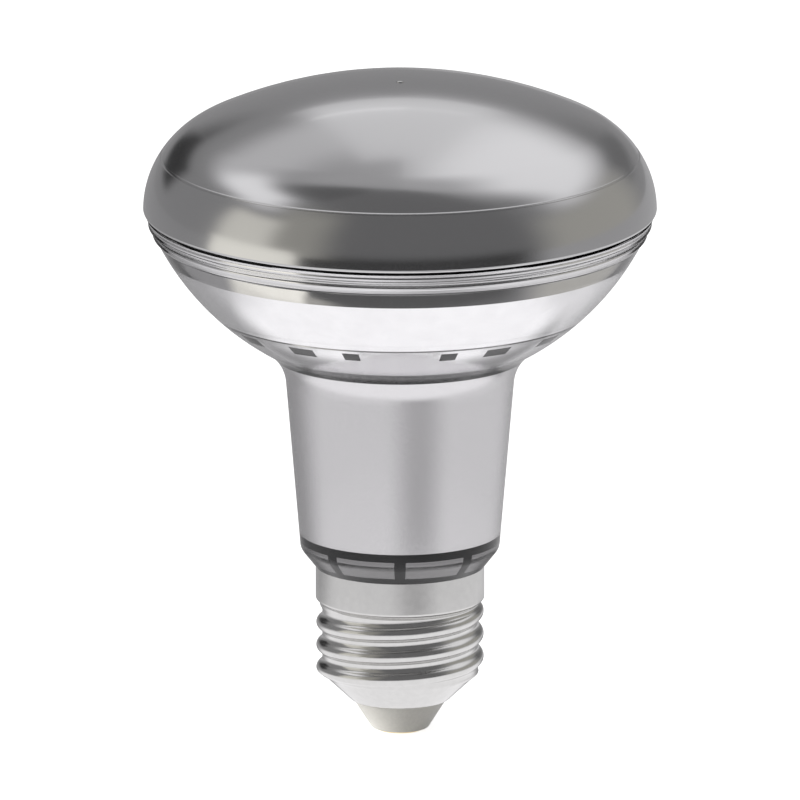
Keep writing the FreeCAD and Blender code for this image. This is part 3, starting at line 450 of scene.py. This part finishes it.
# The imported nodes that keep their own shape
KEPT = {
    "centre_contact": contact_look,
    "thermal_pad": pad_look,
    "led_board": board_look,
    "led_chips": chip_look,
    "board_screws": steel_look,
    "solder_joints": solder_look,
    "driver_housing": housing_look,
    "driver_board": laminate_look,
    "storage_capacitor": can_look,
    "output_capacitor": can_look,
    "transformer_core": ferrite_look,
    "transformer_winding": winding_look,
    "drum_choke": ferrite_look,
    "fusible_resistor": coating_look,
    "film_capacitor": film_look,
    "bridge_rectifier": epoxy_look,
    "control_chip": epoxy_look,
    "live_lead": red_look,
    "neutral_lead": white_look,
    "output_leads": red_look,
}
for node, look in KEPT.items():
    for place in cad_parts[node].material_slots:
        place.material = look


# Clear body
def stepped_bowl(radius, high, low):
    """The inside of the bowl from one height down to another, with its moulded faces."""
    outline = []
    top = high
    for step_top, step_low, lean in STEPS:
        outline += list(reversed(sphere_run(radius, step_top, top)))
        upright = ring_on_sphere(radius, step_low)
        outline += [(upright + lean * (step_top - step_low), step_top), (upright, step_low)]
        top = step_low
    return outline + list(reversed(sphere_run(radius, low, top)))[1:]


def body_outline():
    """Outside from the collar up to the mouth, then inside back down."""
    collar = skirt_radius - CAP_SHEET - PLAY
    outside = [(collar, body_foot), (collar, cap_top), (SHELF, cap_top)]
    outside.append((NECK_FOOT, neck_foot_height, SHOULDER_ROUND))
    outside += throat_run(0)
    throat_end = outside[-1]
    outside += sphere_run(bowl_radius, throat_end[1], mouth_height - BEADS[0] - 2 * BEAD)
    for i in range(2):
        crest = mouth_height - BEADS[0] + BEADS[1] * i
        outside.append((ring_on_sphere(bowl_radius, crest) + BEAD, crest, BEAD / 3))
        outside.append((ring_on_sphere(bowl_radius, crest + BEAD), crest + BEAD))
        if i == 0:
            low = crest + BEADS[1] - 2 * BEAD
            outside.append((ring_on_sphere(bowl_radius, low), low))
    outside.append((mouth_radius, mouth_height))
    throat = throat_run(WALL)
    inside = stepped_bowl(bowl_radius - WALL, mouth_height, throat[-1][1])
    inside += list(reversed(throat))[1:]
    bore = NECK_FOOT - WALL
    inside.append((bore, shoulder_height(bore, WALL), SHOULDER_ROUND - WALL))
    inside.append((collar - WALL, shoulder_height(collar - WALL, WALL)))
    inside.append((collar - WALL, body_foot))
    return eased(outside + inside)


clear_body = turned("clear_wall", body_outline(), SHARP_STEPS)
add_piece(clear_body, clear_body_look, "clear_body", "clear_body")


# Reflector, bonded to the inside of the bowl
def cup_outline():
    """Up the wall with its steps to the mouth, down the smooth inside, and round the hole at its foot."""
    skin = WALL - BOND
    foot = [p for p in throat_run(skin) if p[1] > GROOVE[1]]
    low = foot[0][1]
    inner = bowl_radius - skin - CUP_DEPTH
    collar = THROAT_RADIUS + CUP_SHEET
    outside = [(THROAT_RADIUS, sink_deck), (collar, sink_deck), (collar, low)] + foot[:-1]
    outside += list(reversed(stepped_bowl(bowl_radius - skin, mouth_height, foot[-1][1])))
    inside = list(reversed(sphere_run(inner, low + CUP_ROUND, mouth_height)))
    inside += [(inside[-1][0] - CUP_ROUND / 2, low + CUP_SHEET), (THROAT_RADIUS, low + CUP_SHEET)]
    return eased(outside + inside)


cup = turned("reflector_mirror", cup_outline(), SHARP_STEPS)
add_piece(cup, mirror_look, "mirror", "reflector_cup")


# Gasket
def seal_outline():
    """A flat ring on the bowl's mouth, with eased outer edges."""
    inside = ring_on_sphere(bowl_radius - WALL - SEAL_WIDTH, mouth_height)
    edge = (seal_top - seal_foot) / 4
    return eased(
        [
            (inside, seal_foot),
            (seal_radius, seal_foot, edge),
            (seal_radius, seal_top, edge),
            (inside, seal_top),
        ]
    )


seal = turned("seal_ring", seal_outline())
add_piece(seal, seal_and_painted_dark_look, "seal_black", "lens_seal")


# Lens
def lens_outline():
    """Dome and side joined by a tangent arc, outside and inside, with the ring line and gate mark."""
    corner_ring = lens_radius - LENS_CORNER
    corner_height = seal_top + LENS_STRAIGHT
    reach = LENS_DOME - LENS_CORNER
    centre = corner_height - math.sqrt(reach**2 - corner_ring**2)
    lean = math.acos(corner_ring / reach)
    crease = lens_radius - CREASE_INSET
    crease_angle = math.acos((crease - corner_ring) / LENS_CORNER)
    half = CREASE / LENS_CORNER * CREASE_FLARE
    corner = (corner_ring, corner_height)
    rise = math.asin((LENS_EDGE - LENS_STRAIGHT) / LENS_CORNER)
    outside = arc((lens_radius - LENS_EDGE, seal_top + LENS_EDGE), LENS_EDGE, -math.pi / 2, 0)[:-1]
    outside += arc(corner, LENS_CORNER, rise, crease_angle - half)
    bed = arc(corner, LENS_CORNER - CREASE, crease_angle - half / 3, crease_angle + half / 3)
    outside += [bed[0], bed[-1]]
    outside += arc(corner, LENS_CORNER, crease_angle + half, lean)
    outside += arc((0, centre), LENS_DOME, lean, math.acos(GATE_RADIUS / LENS_DOME))[1:]
    top = centre + LENS_DOME
    outside += [(GATE_RADIUS, top + GATE_HEIGHT / 2), (0, top + GATE_HEIGHT)]
    inner_dome = LENS_DOME - LENS_WALL
    inner_ring = lens_radius - LENS_SIDE - LENS_INNER_CORNER
    inner_reach = inner_dome - LENS_INNER_CORNER
    inner_height = centre + math.sqrt(inner_reach**2 - inner_ring**2)
    inner_lean = math.acos(inner_ring / inner_reach)
    spigot = ring_on_sphere(bowl_radius - WALL - SEAL_WIDTH, lens_foot) - PLAY
    inside = arc((0, centre), inner_dome, math.pi / 2, inner_lean)
    inside += arc((inner_ring, inner_height), LENS_INNER_CORNER, inner_lean, 0)[1:]
    inside += [(inner_ring + LENS_INNER_CORNER, lens_foot), (spigot, lens_foot), (spigot, seal_top)]
    return outside + inside


lens = turned("lens_dome", lens_outline())
add_piece(lens, lens_look, "front_lens", "front_lens")


# Sleeve with its deck, bonded to the inside of the neck
def sink_outline():
    """Up the neck, out along the start of the throat, and in over its edge to the deck."""
    skin = WALL - BOND
    foot = neck_radius(sink_foot, skin)
    flare = [p for p in throat_run(skin) if p[1] < GROOVE[0]]
    edge = flare[-1][0]
    rim = edge - SINK_RIM
    outside = [(foot, sink_foot)] + flare + [(edge, GROOVE[0], SINK_ROUND), (rim, GROOVE[0])]
    outside += [(rim, sink_deck), (0, sink_deck)]
    under = sink_deck - DECK
    bend = throat_height - SINK_BEND
    inside = [(0, under), (rim - SINK_WALL, under), (neck_radius(bend, skin) - SINK_WALL, bend)]
    return eased(outside + inside + [(foot - SINK_WALL, sink_foot)])


sink = turned("neck_sleeve", sink_outline())
add_piece(sink, sleeve_look, "satin_metal", "heat_sink")


def painted_shade_lining_outline():
    """A thin black lining on the wall between the sleeve and the reflector: painted shade in the groove.
    """
    skin = WALL - BOND / 2
    low, high = GROOVE[0] - SHADE_LINING_LAP, GROOVE[1] + SHADE_LINING_LAP
    lining = [p for p in throat_run(skin) if low < p[1] < high]
    return lining + [(radius - SINK_WALL, height) for radius, height in (lining[-1], lining[0])]


# Painted shade: a black sheet that darkens the groove between the sleeve and the reflector
add_piece(turned("painted_shade_lining", painted_shade_lining_outline()), seal_and_painted_dark_look, "seal_black")


def make_painted_reflection_pads():
    """Small black pads on the wall of the bowl, just above the foot of the reflector: painted dark
    reflections.
    """
    wall = sphere_run(bowl_radius - WALL + BOND * 2, *REFLECTION_PAD_SPAN)
    outline = wall + [(r - CUP_SHEET, z) for r, z in reversed(wall)]
    spans = []
    for quarter in range(4):
        for turn, width in REFLECTION_PADS:
            for side in (-turn, turn):
                middle = 90 * quarter + side
                spans.append((middle - width / 2, middle + width / 2))
    return panels("painted_reflection_pads", outline, spans, REFLECTION_PAD_STEPS)


# Painted dark reflections: black pads at the foot of the reflector
add_piece(make_painted_reflection_pads(), seal_and_painted_dark_look, "seal_black")


# Slotted ring and dark band behind the shoulder
def behind_shoulder(inset, low, high):
    """A sheet along the inside of the shoulder and the neck's foot, sunk into the wall by inset."""
    sheet = RING_SHEET
    skin = WALL - inset
    corner = (NECK_FOOT - skin, shoulder_height(NECK_FOOT - skin, skin), SHOULDER_ROUND - skin)
    slope = SHOULDER_RISE / (NECK_FOOT - SHELF)
    foot = SHELF + (low - cap_top - skin * math.hypot(1, slope)) / slope
    head = neck_radius(high, skin)
    outline = [(foot - sheet, low), (foot, low), corner, (head, high), (head - sheet, high)]
    return eased(outline + [(corner[0] - sheet, corner[1] + sheet)])


half_panel = 180 / SLOTS - math.degrees(SLOT_WIDTH / 2 / NECK_FOOT)
middles = [360 * (i + 0.5) / SLOTS for i in range(SLOTS)]
slotted_ring = panels(
    "slotted_ring",
    behind_shoulder(BOND * 2, ring_foot + RING_LIFT, RING_HEAD),
    [(middle - half_panel, middle + half_panel) for middle in middles],
    RING_STEPS,
)
add_piece(slotted_ring, ring_look, "bright_steel", "retaining_ring")
dark_band = turned("housing_band", behind_shoulder(BOND, cap_top + BAND_LIFT, BAND_HEAD))
add_piece(dark_band, housing_look, "housing")


# Screw cap
def thread_wave(turns):
    """Knuckle thread section: 1 at the crest, 0 at the root, of two equal arcs that meet."""
    lean = 2 * math.atan(2 * THREAD_DEPTH / PITCH)
    radius = PITCH / (4 * math.sin(lean))
    away = abs(turns - round(turns)) * PITCH
    if away <= PITCH / 4:
        return 1 - (radius - math.sqrt(radius**2 - away**2)) / THREAD_DEPTH
    left = PITCH / 2 - away
    return (radius - math.sqrt(radius**2 - left**2)) / THREAD_DEPTH


def smooth(share):
    """0 up to 0, 1 from 1 on, and a soft rise between them."""
    share = min(max(share, 0.0), 1.0)
    return share * share * (3 - 2 * share)


def cap_skin(height, angle, inset):
    """Radius of one skin of the cap at a height and an angle."""
    valley = THREAD_RADIUS - THREAD_DEPTH
    if height < CONE_TOP:
        up = (height - lip_height) / (CONE_TOP - lip_height)
        radius = LIP_RADIUS + (valley - LIP_RADIUS) * up
    else:
        radius = valley + (skirt_radius - valley) * smooth((height - SKIRT_LOW) / SKIRT_SWELL)
    turns = (height - CREST_HEIGHT) / PITCH - angle / (2 * math.pi)
    grown = smooth((height - THREAD_FOOT) / RUN_IN)
    gone = smooth((THREAD_HEAD - height) / RUN_IN)
    return radius + THREAD_DEPTH * thread_wave(turns) * grown * gone - inset


def make_cap():
    """A thin sheet with the thread in both its skins, open at the lip and at the top."""
    rows = [lip_height + (cap_top - lip_height) * i / CAP_ROWS for i in range(CAP_ROWS + 1)]
    path = [(height, 0.0) for height in rows]
    path += [(height, CAP_SHEET) for height in reversed(rows[::2])]
    points, faces = [], []
    for height, inset in path:
        for i in range(CAP_ROUND):
            angle = 2 * math.pi * i / CAP_ROUND
            radius = cap_skin(height, angle, inset)
            points.append((radius * math.cos(angle), radius * math.sin(angle), height))
    count = len(path)
    for row in range(count):
        low, high = row * CAP_ROUND, (row + 1) % count * CAP_ROUND
        for i in range(CAP_ROUND):
            j = (i + 1) % CAP_ROUND
            faces.append((low + i, low + j, high + j, high + i))
    return piece("screw_cap", points, faces, SHARP_CAP)


add_piece(make_cap(), nickel_look, "nickel", "cap_shell")


# Insulator at the bottom of the cap
def insulator_outline():
    """The cone under the cap's lip and the plug inside it, round the rivet's hole."""
    return eased(
        [
            (RIVET_RADIUS, TIP_FOOT),
            (TIP_RADIUS, TIP_FOOT, TIP_ROUND),
            (CONE_RADIUS, lip_height),
            (LEDGE_RADIUS, lip_height + LEDGE_RISE),
            (plug_radius, plug_top - PLUG_RIM),
            (plug_radius, plug_top),
            (RIVET_RADIUS, plug_top),
        ]
    )


insulator = turned("cap_base", insulator_outline())
add_piece(insulator, insulator_look, "insulator", "cap_insulator")


# Floor and world, which metal and glass see as the camera does
def seen_directly(nodes, links):
    """1 for rays from the camera and for those that metal and glass send on."""
    path = nodes.new("ShaderNodeLightPath")
    first = nodes.new("ShaderNodeMath")
    first.operation = "MAXIMUM"
    second = nodes.new("ShaderNodeMath")
    second.operation = "MAXIMUM"
    links.new(path.outputs["Is Camera Ray"], first.inputs[0])
    links.new(path.outputs["Is Glossy Ray"], first.inputs[1])
    links.new(first.outputs[0], second.inputs[0])
    links.new(path.outputs["Is Transmission Ray"], second.inputs[1])
    return second.outputs[0]


FLOOR_SIDE = 3000
FLOOR_COLOUR = 0.80
FLOOR_LIFT = 0.86


def make_floor():
    """A pale floor that keeps the lamp's shadow and is lifted to white where it is seen."""
    side = FLOOR_SIDE
    points = [(-side, -side, 0), (side, -side, 0), (side, side, 0), (-side, side, 0)]
    mesh = bpy.data.meshes.new("floor")
    mesh.from_pydata([tuple(v * MM for v in p) for p in points], [], [(0, 1, 2, 3)])
    floor = bpy.data.objects.new("floor", mesh)
    bpy.context.scene.collection.objects.link(floor)
    material, shader = principled(
        "floor_look", Base_Color=rgba(FLOOR_COLOUR, FLOOR_COLOUR, FLOOR_COLOUR), Roughness=0.9
    )
    shader.inputs["Specular IOR Level"].default_value = 0.0
    shader.inputs["Emission Color"].default_value = rgba(1, 1, 1)
    nodes, links = material.node_tree.nodes, material.node_tree.links
    lift = nodes.new("ShaderNodeMath")
    lift.operation = "MULTIPLY"
    lift.inputs[1].default_value = FLOOR_LIFT
    links.new(seen_directly(nodes, links), lift.inputs[0])
    links.new(lift.outputs[0], shader.inputs["Emission Strength"])
    mesh.materials.append(material)


make_floor()

WORLD_LEVEL = 0.12


def make_world():
    """White where it is seen, and a low even light on everything else."""
    world = bpy.data.worlds.new("studio")
    bpy.context.scene.world = world
    world.use_nodes = True
    nodes, links = world.node_tree.nodes, world.node_tree.links
    nodes.clear()
    plain = nodes.new("ShaderNodeBackground")
    plain.inputs["Color"].default_value = rgba(1, 1, 1)
    plain.inputs["Strength"].default_value = WORLD_LEVEL
    white = nodes.new("ShaderNodeBackground")
    white.inputs["Color"].default_value = rgba(1, 1, 1)
    white.inputs["Strength"].default_value = 1.0
    mix = nodes.new("ShaderNodeMixShader")
    out = nodes.new("ShaderNodeOutputWorld")
    links.new(seen_directly(nodes, links), mix.inputs["Fac"])
    links.new(plain.outputs["Background"], mix.inputs[1])
    links.new(white.outputs["Background"], mix.inputs[2])
    links.new(mix.outputs["Shader"], out.inputs["Surface"])


make_world()

# The studio that polished and clear surfaces see: a table top and a tent over it
TENT_RADIUS = 2500
TENT_STEP = 1.5
TABLE_LIFT = 0.3
TABLE_HOLE = 6
TABLE_ROWS = 120
COOL = (1.0, 0.991, 1.008)
WARM = (1.0, 0.975, 0.90)
# Level of the bare tent, and soft cards on it, each laid over those before it: azimuths from and to, 0 in
# front and 90 to the right, elevations from and to, softness of the sides and of the ends, level and tint
ROOM = 0.27
CARDS = (
    ("room_front", -58, 68, -30, 95, 30, 20, 0.17, COOL),
    ("room_low", -46, 58, -30, 3, 20, 10, 0.06, COOL),
    ("ceiling_right", 70, 200, 58, 95, 40, 24, 0.50, COOL),
    ("ceiling_left", -200, -110, 58, 95, 40, 24, 0.44, COOL),
    ("pocket_left", -108, -56, 60, 84, 20, 12, 0.13, COOL),
    ("fill_left", -66, -34, -30, 50, 20, 20, 0.36, WARM),
    ("box_left", -90, -60, -30, 33, 12, 10, 0.76, WARM),
    ("box_low", -92, -48, -30, 4, 6, 4, 1.0, WARM),
    ("glow_left", -180, -110, 37, 57, 20, 12, 0.62, COOL),
    ("box_left_upper", -128, -74, 40, 56, 24, 9, 1.05, COOL),
    ("low_right", 70, 134, -30, 30, 26, 20, 0.42, WARM),
    ("box_right", 90, 176, 32, 70, 32, 18, 1.0, COOL),
    ("strip_left", -165, -136, 7, 24, 10, 6, 0.04, COOL),
    ("strip_right", 140, 165, 10, 26, 12, 8, 0.16, COOL),
    ("back_box_left", -200, -169, 29, 60, 4, 2, 0.78, COOL),
    ("back_box_right", 169, 200, 29, 60, 4, 2, 0.78, COOL),
    ("back_tube_left", -200, -169, 36.0, 37.0, 3, 1, 1.6, COOL),
    ("back_tube_right", 171, 200, 36.0, 37.0, 3, 1, 1.1, COOL),
)
# The same on the table top, with radii for elevations: brightest under the lamp and darker outwards and
# to the back, with a dark streak right of the middle. WIDE lies beyond any azimuth or radius
WIDE = 1e5
NEAR_LEVEL = 1.07
NEAR_PATCHES = (
    ("under_bowl", -WIDE, WIDE, 74, WIDE, 1, 26, 0.82, COOL),
    ("round_lamp", -WIDE, WIDE, 113, WIDE, 1, 8, 0.76, COOL),
    ("under_back_right", 130, WIDE, -WIDE, 84, 34, 16, 0.34, COOL),
    ("under_back_left", -WIDE, -130, -WIDE, 84, 34, 16, 0.34, COOL),
    ("back_left", -WIDE, -112, 84, WIDE, 50, 16, 0.42, COOL),
    ("back_right", 150, WIDE, 84, WIDE, 60, 16, 0.50, COOL),
    ("streak", 0, 40, 82, 170, 36, 8, 0.50, COOL),
)
FAR_LEVEL = 0.30
FAR_PATCHES = (
    ("far_right", 0, WIDE, -WIDE, WIDE, 60, 1, 0.40, COOL),
    ("far_front", -50, 62, -WIDE, WIDE, 24, 1, 0.045, COOL),
    ("far_left", -92, -46, -WIDE, WIDE, 5, 1, 1.05, WARM),
)
# Radius and width of the change from the near table to the far, and from that to the tent's foot
FAR_EDGE = (300, 60)
TABLE_EDGE = (1800, 900)


def soft_step(value, edge, width):
    """0 below an edge, 1 above it, with a soft change of one width."""
    return smooth((value - edge) / width + 0.5)


def window(value, low, high, width):
    """1 between two edges, with soft sides."""
    return soft_step(value, low, width) * (1 - soft_step(value, high, width))


def blend(first, second, share):
    """The light a share of the way from one light to another."""
    return tuple(a + (b - a) * share for a, b in zip(first, second))


def shade(level, tint=COOL):
    """Light of one level and tint."""
    return tuple(level * part for part in tint)


def layered(base, patches, azimuth, along):
    """A plain light with soft patches laid over it, at an azimuth and an elevation or radius."""
    light = shade(base)
    for _, left, right, low, high, soft_sides, soft_ends, level, tint in patches:
        share = window(azimuth, left, right, soft_sides) * window(along, low, high, soft_ends)
        light = blend(light, shade(level, tint), share)
    return light


def tent_light(azimuth, elevation):
    """Light that the tent gives off in one place."""
    return layered(ROOM, CARDS, azimuth, elevation)


def table_light(azimuth, radius):
    """Light that the table top gives off in one place."""
    near = layered(NEAR_LEVEL, NEAR_PATCHES, azimuth, radius)
    far = layered(FAR_LEVEL, FAR_PATCHES, azimuth, radius)
    table = blend(near, far, soft_step(radius, *FAR_EDGE))
    return blend(table, tent_light(azimuth, 0), soft_step(radius, *TABLE_EDGE))


def lit_mesh(name, points, faces, levels):
    """A staged mesh whose points each give off light of their own, for metal and glass only."""
    mesh = bpy.data.meshes.new(name)
    mesh.from_pydata([tuple(v * MM for v in p) for p in points], [], faces)
    glow = mesh.color_attributes.new("level", "FLOAT_COLOR", "POINT")
    for item, level in zip(glow.data, levels):
        item.color = (*level, 1)
    material = bpy.data.materials.new(name + "_look")
    material.use_nodes = True
    material.cycles.emission_sampling = "NONE"
    nodes, links = material.node_tree.nodes, material.node_tree.links
    nodes.clear()
    held = nodes.new("ShaderNodeAttribute")
    held.attribute_name = "level"
    light = nodes.new("ShaderNodeEmission")
    out = nodes.new("ShaderNodeOutputMaterial")
    links.new(held.outputs["Color"], light.inputs["Color"])
    links.new(light.outputs["Emission"], out.inputs["Surface"])
    mesh.materials.append(material)
    thing = bpy.data.objects.new(name, mesh)
    bpy.context.scene.collection.objects.link(thing)
    thing.visible_camera = False
    thing.visible_diffuse = False
    thing.visible_shadow = False


def lit_rows(name, rows, light_at):
    """A lit mesh of rings: a row holds its radius, height and what light_at takes beside the azimuth."""
    across = round(360 / TENT_STEP)
    points, levels, faces = [], [], []
    for radius, height, along in rows:
        for i in range(across):
            azimuth = -180 + i * TENT_STEP
            turn = math.radians(azimuth)
            points.append((radius * math.sin(turn), -radius * math.cos(turn), height))
            levels.append(light_at(azimuth, along))
    for j in range(len(rows) - 1):
        low, high = j * across, (j + 1) * across
        for i in range(across):
            k = (i + 1) % across
            faces.append((low + i, low + k, high + k, high + i))
    lit_mesh(name, points, faces, levels)


def make_studio():
    """The tent from its foot to its top, and the table top from its hole to the tent."""
    tent = []
    for j in range(round(90 / TENT_STEP) + 1):
        elevation = j * TENT_STEP
        tall = math.radians(elevation)
        height = TENT_RADIUS * math.sin(tall) + TABLE_LIFT
        tent.append((TENT_RADIUS * math.cos(tall), height, elevation))
    lit_rows("tent", tent, tent_light)
    growth = (TENT_RADIUS / TABLE_HOLE) ** (1 / TABLE_ROWS)
    radii = [TABLE_HOLE * growth**j for j in range(TABLE_ROWS + 1)]
    lit_rows("table_top", [(radius, TABLE_LIFT, radius) for radius in radii], table_light)


make_studio()

# Soft lamps, all aimed at the lamp's middle: name, azimuth, elevation, distance, size and power in watts
LAMP_MIDDLE = 52.0
LAMPS = (
    ("key_lamp", -72, 20, 900, 500, 9.5),
    ("fill_lamp", 60, 35, 900, 700, 0.3),
    ("top_lamp", 170, 75, 900, 800, 1.0),
)


def make_lamp(name, azimuth, elevation, distance, size, power):
    """A square lamp that metal and glass don't mirror."""
    light = bpy.data.lights.new(name, "AREA")
    light.shape = "SQUARE"
    light.size = size * MM
    light.energy = power
    lamp = bpy.data.objects.new(name, light)
    bpy.context.scene.collection.objects.link(lamp)
    a, e = math.radians(azimuth), math.radians(elevation)
    back = Vector((math.sin(a) * math.cos(e), -math.cos(a) * math.cos(e), math.sin(e)))
    lamp.location = Vector((0, 0, LAMP_MIDDLE * MM)) + back * distance * MM
    lamp.rotation_euler = (-back).to_track_quat("-Z", "Y").to_euler()
    lamp.visible_glossy = False
    lamp.visible_transmission = False


for lamp in LAMPS:
    make_lamp(*lamp)

# Camera: parallel view from above the front, as in the photo
VIEW_ELEVATION = 14.2
VIEW_WIDTH = 124.6
VIEW_MIDDLE = 52.72
VIEW_DISTANCE = 900
VIEW_CLIP = (10, 20000)


def make_camera():
    """The photo's view."""
    data = bpy.data.cameras.new("camera")
    data.type = "ORTHO"
    data.ortho_scale = VIEW_WIDTH * MM
    data.clip_start, data.clip_end = (v * MM for v in VIEW_CLIP)
    camera = bpy.data.objects.new("camera", data)
    bpy.context.scene.collection.objects.link(camera)
    e = math.radians(VIEW_ELEVATION)
    back = Vector((0, -math.cos(e), math.sin(e)))
    camera.location = Vector((0, 0, VIEW_MIDDLE * MM)) + back * VIEW_DISTANCE * MM
    camera.rotation_euler = (-back).to_track_quat("-Z", "Y").to_euler()
    bpy.context.scene.camera = camera


make_camera()
bpy.context.scene.view_settings.view_transform = "Standard"
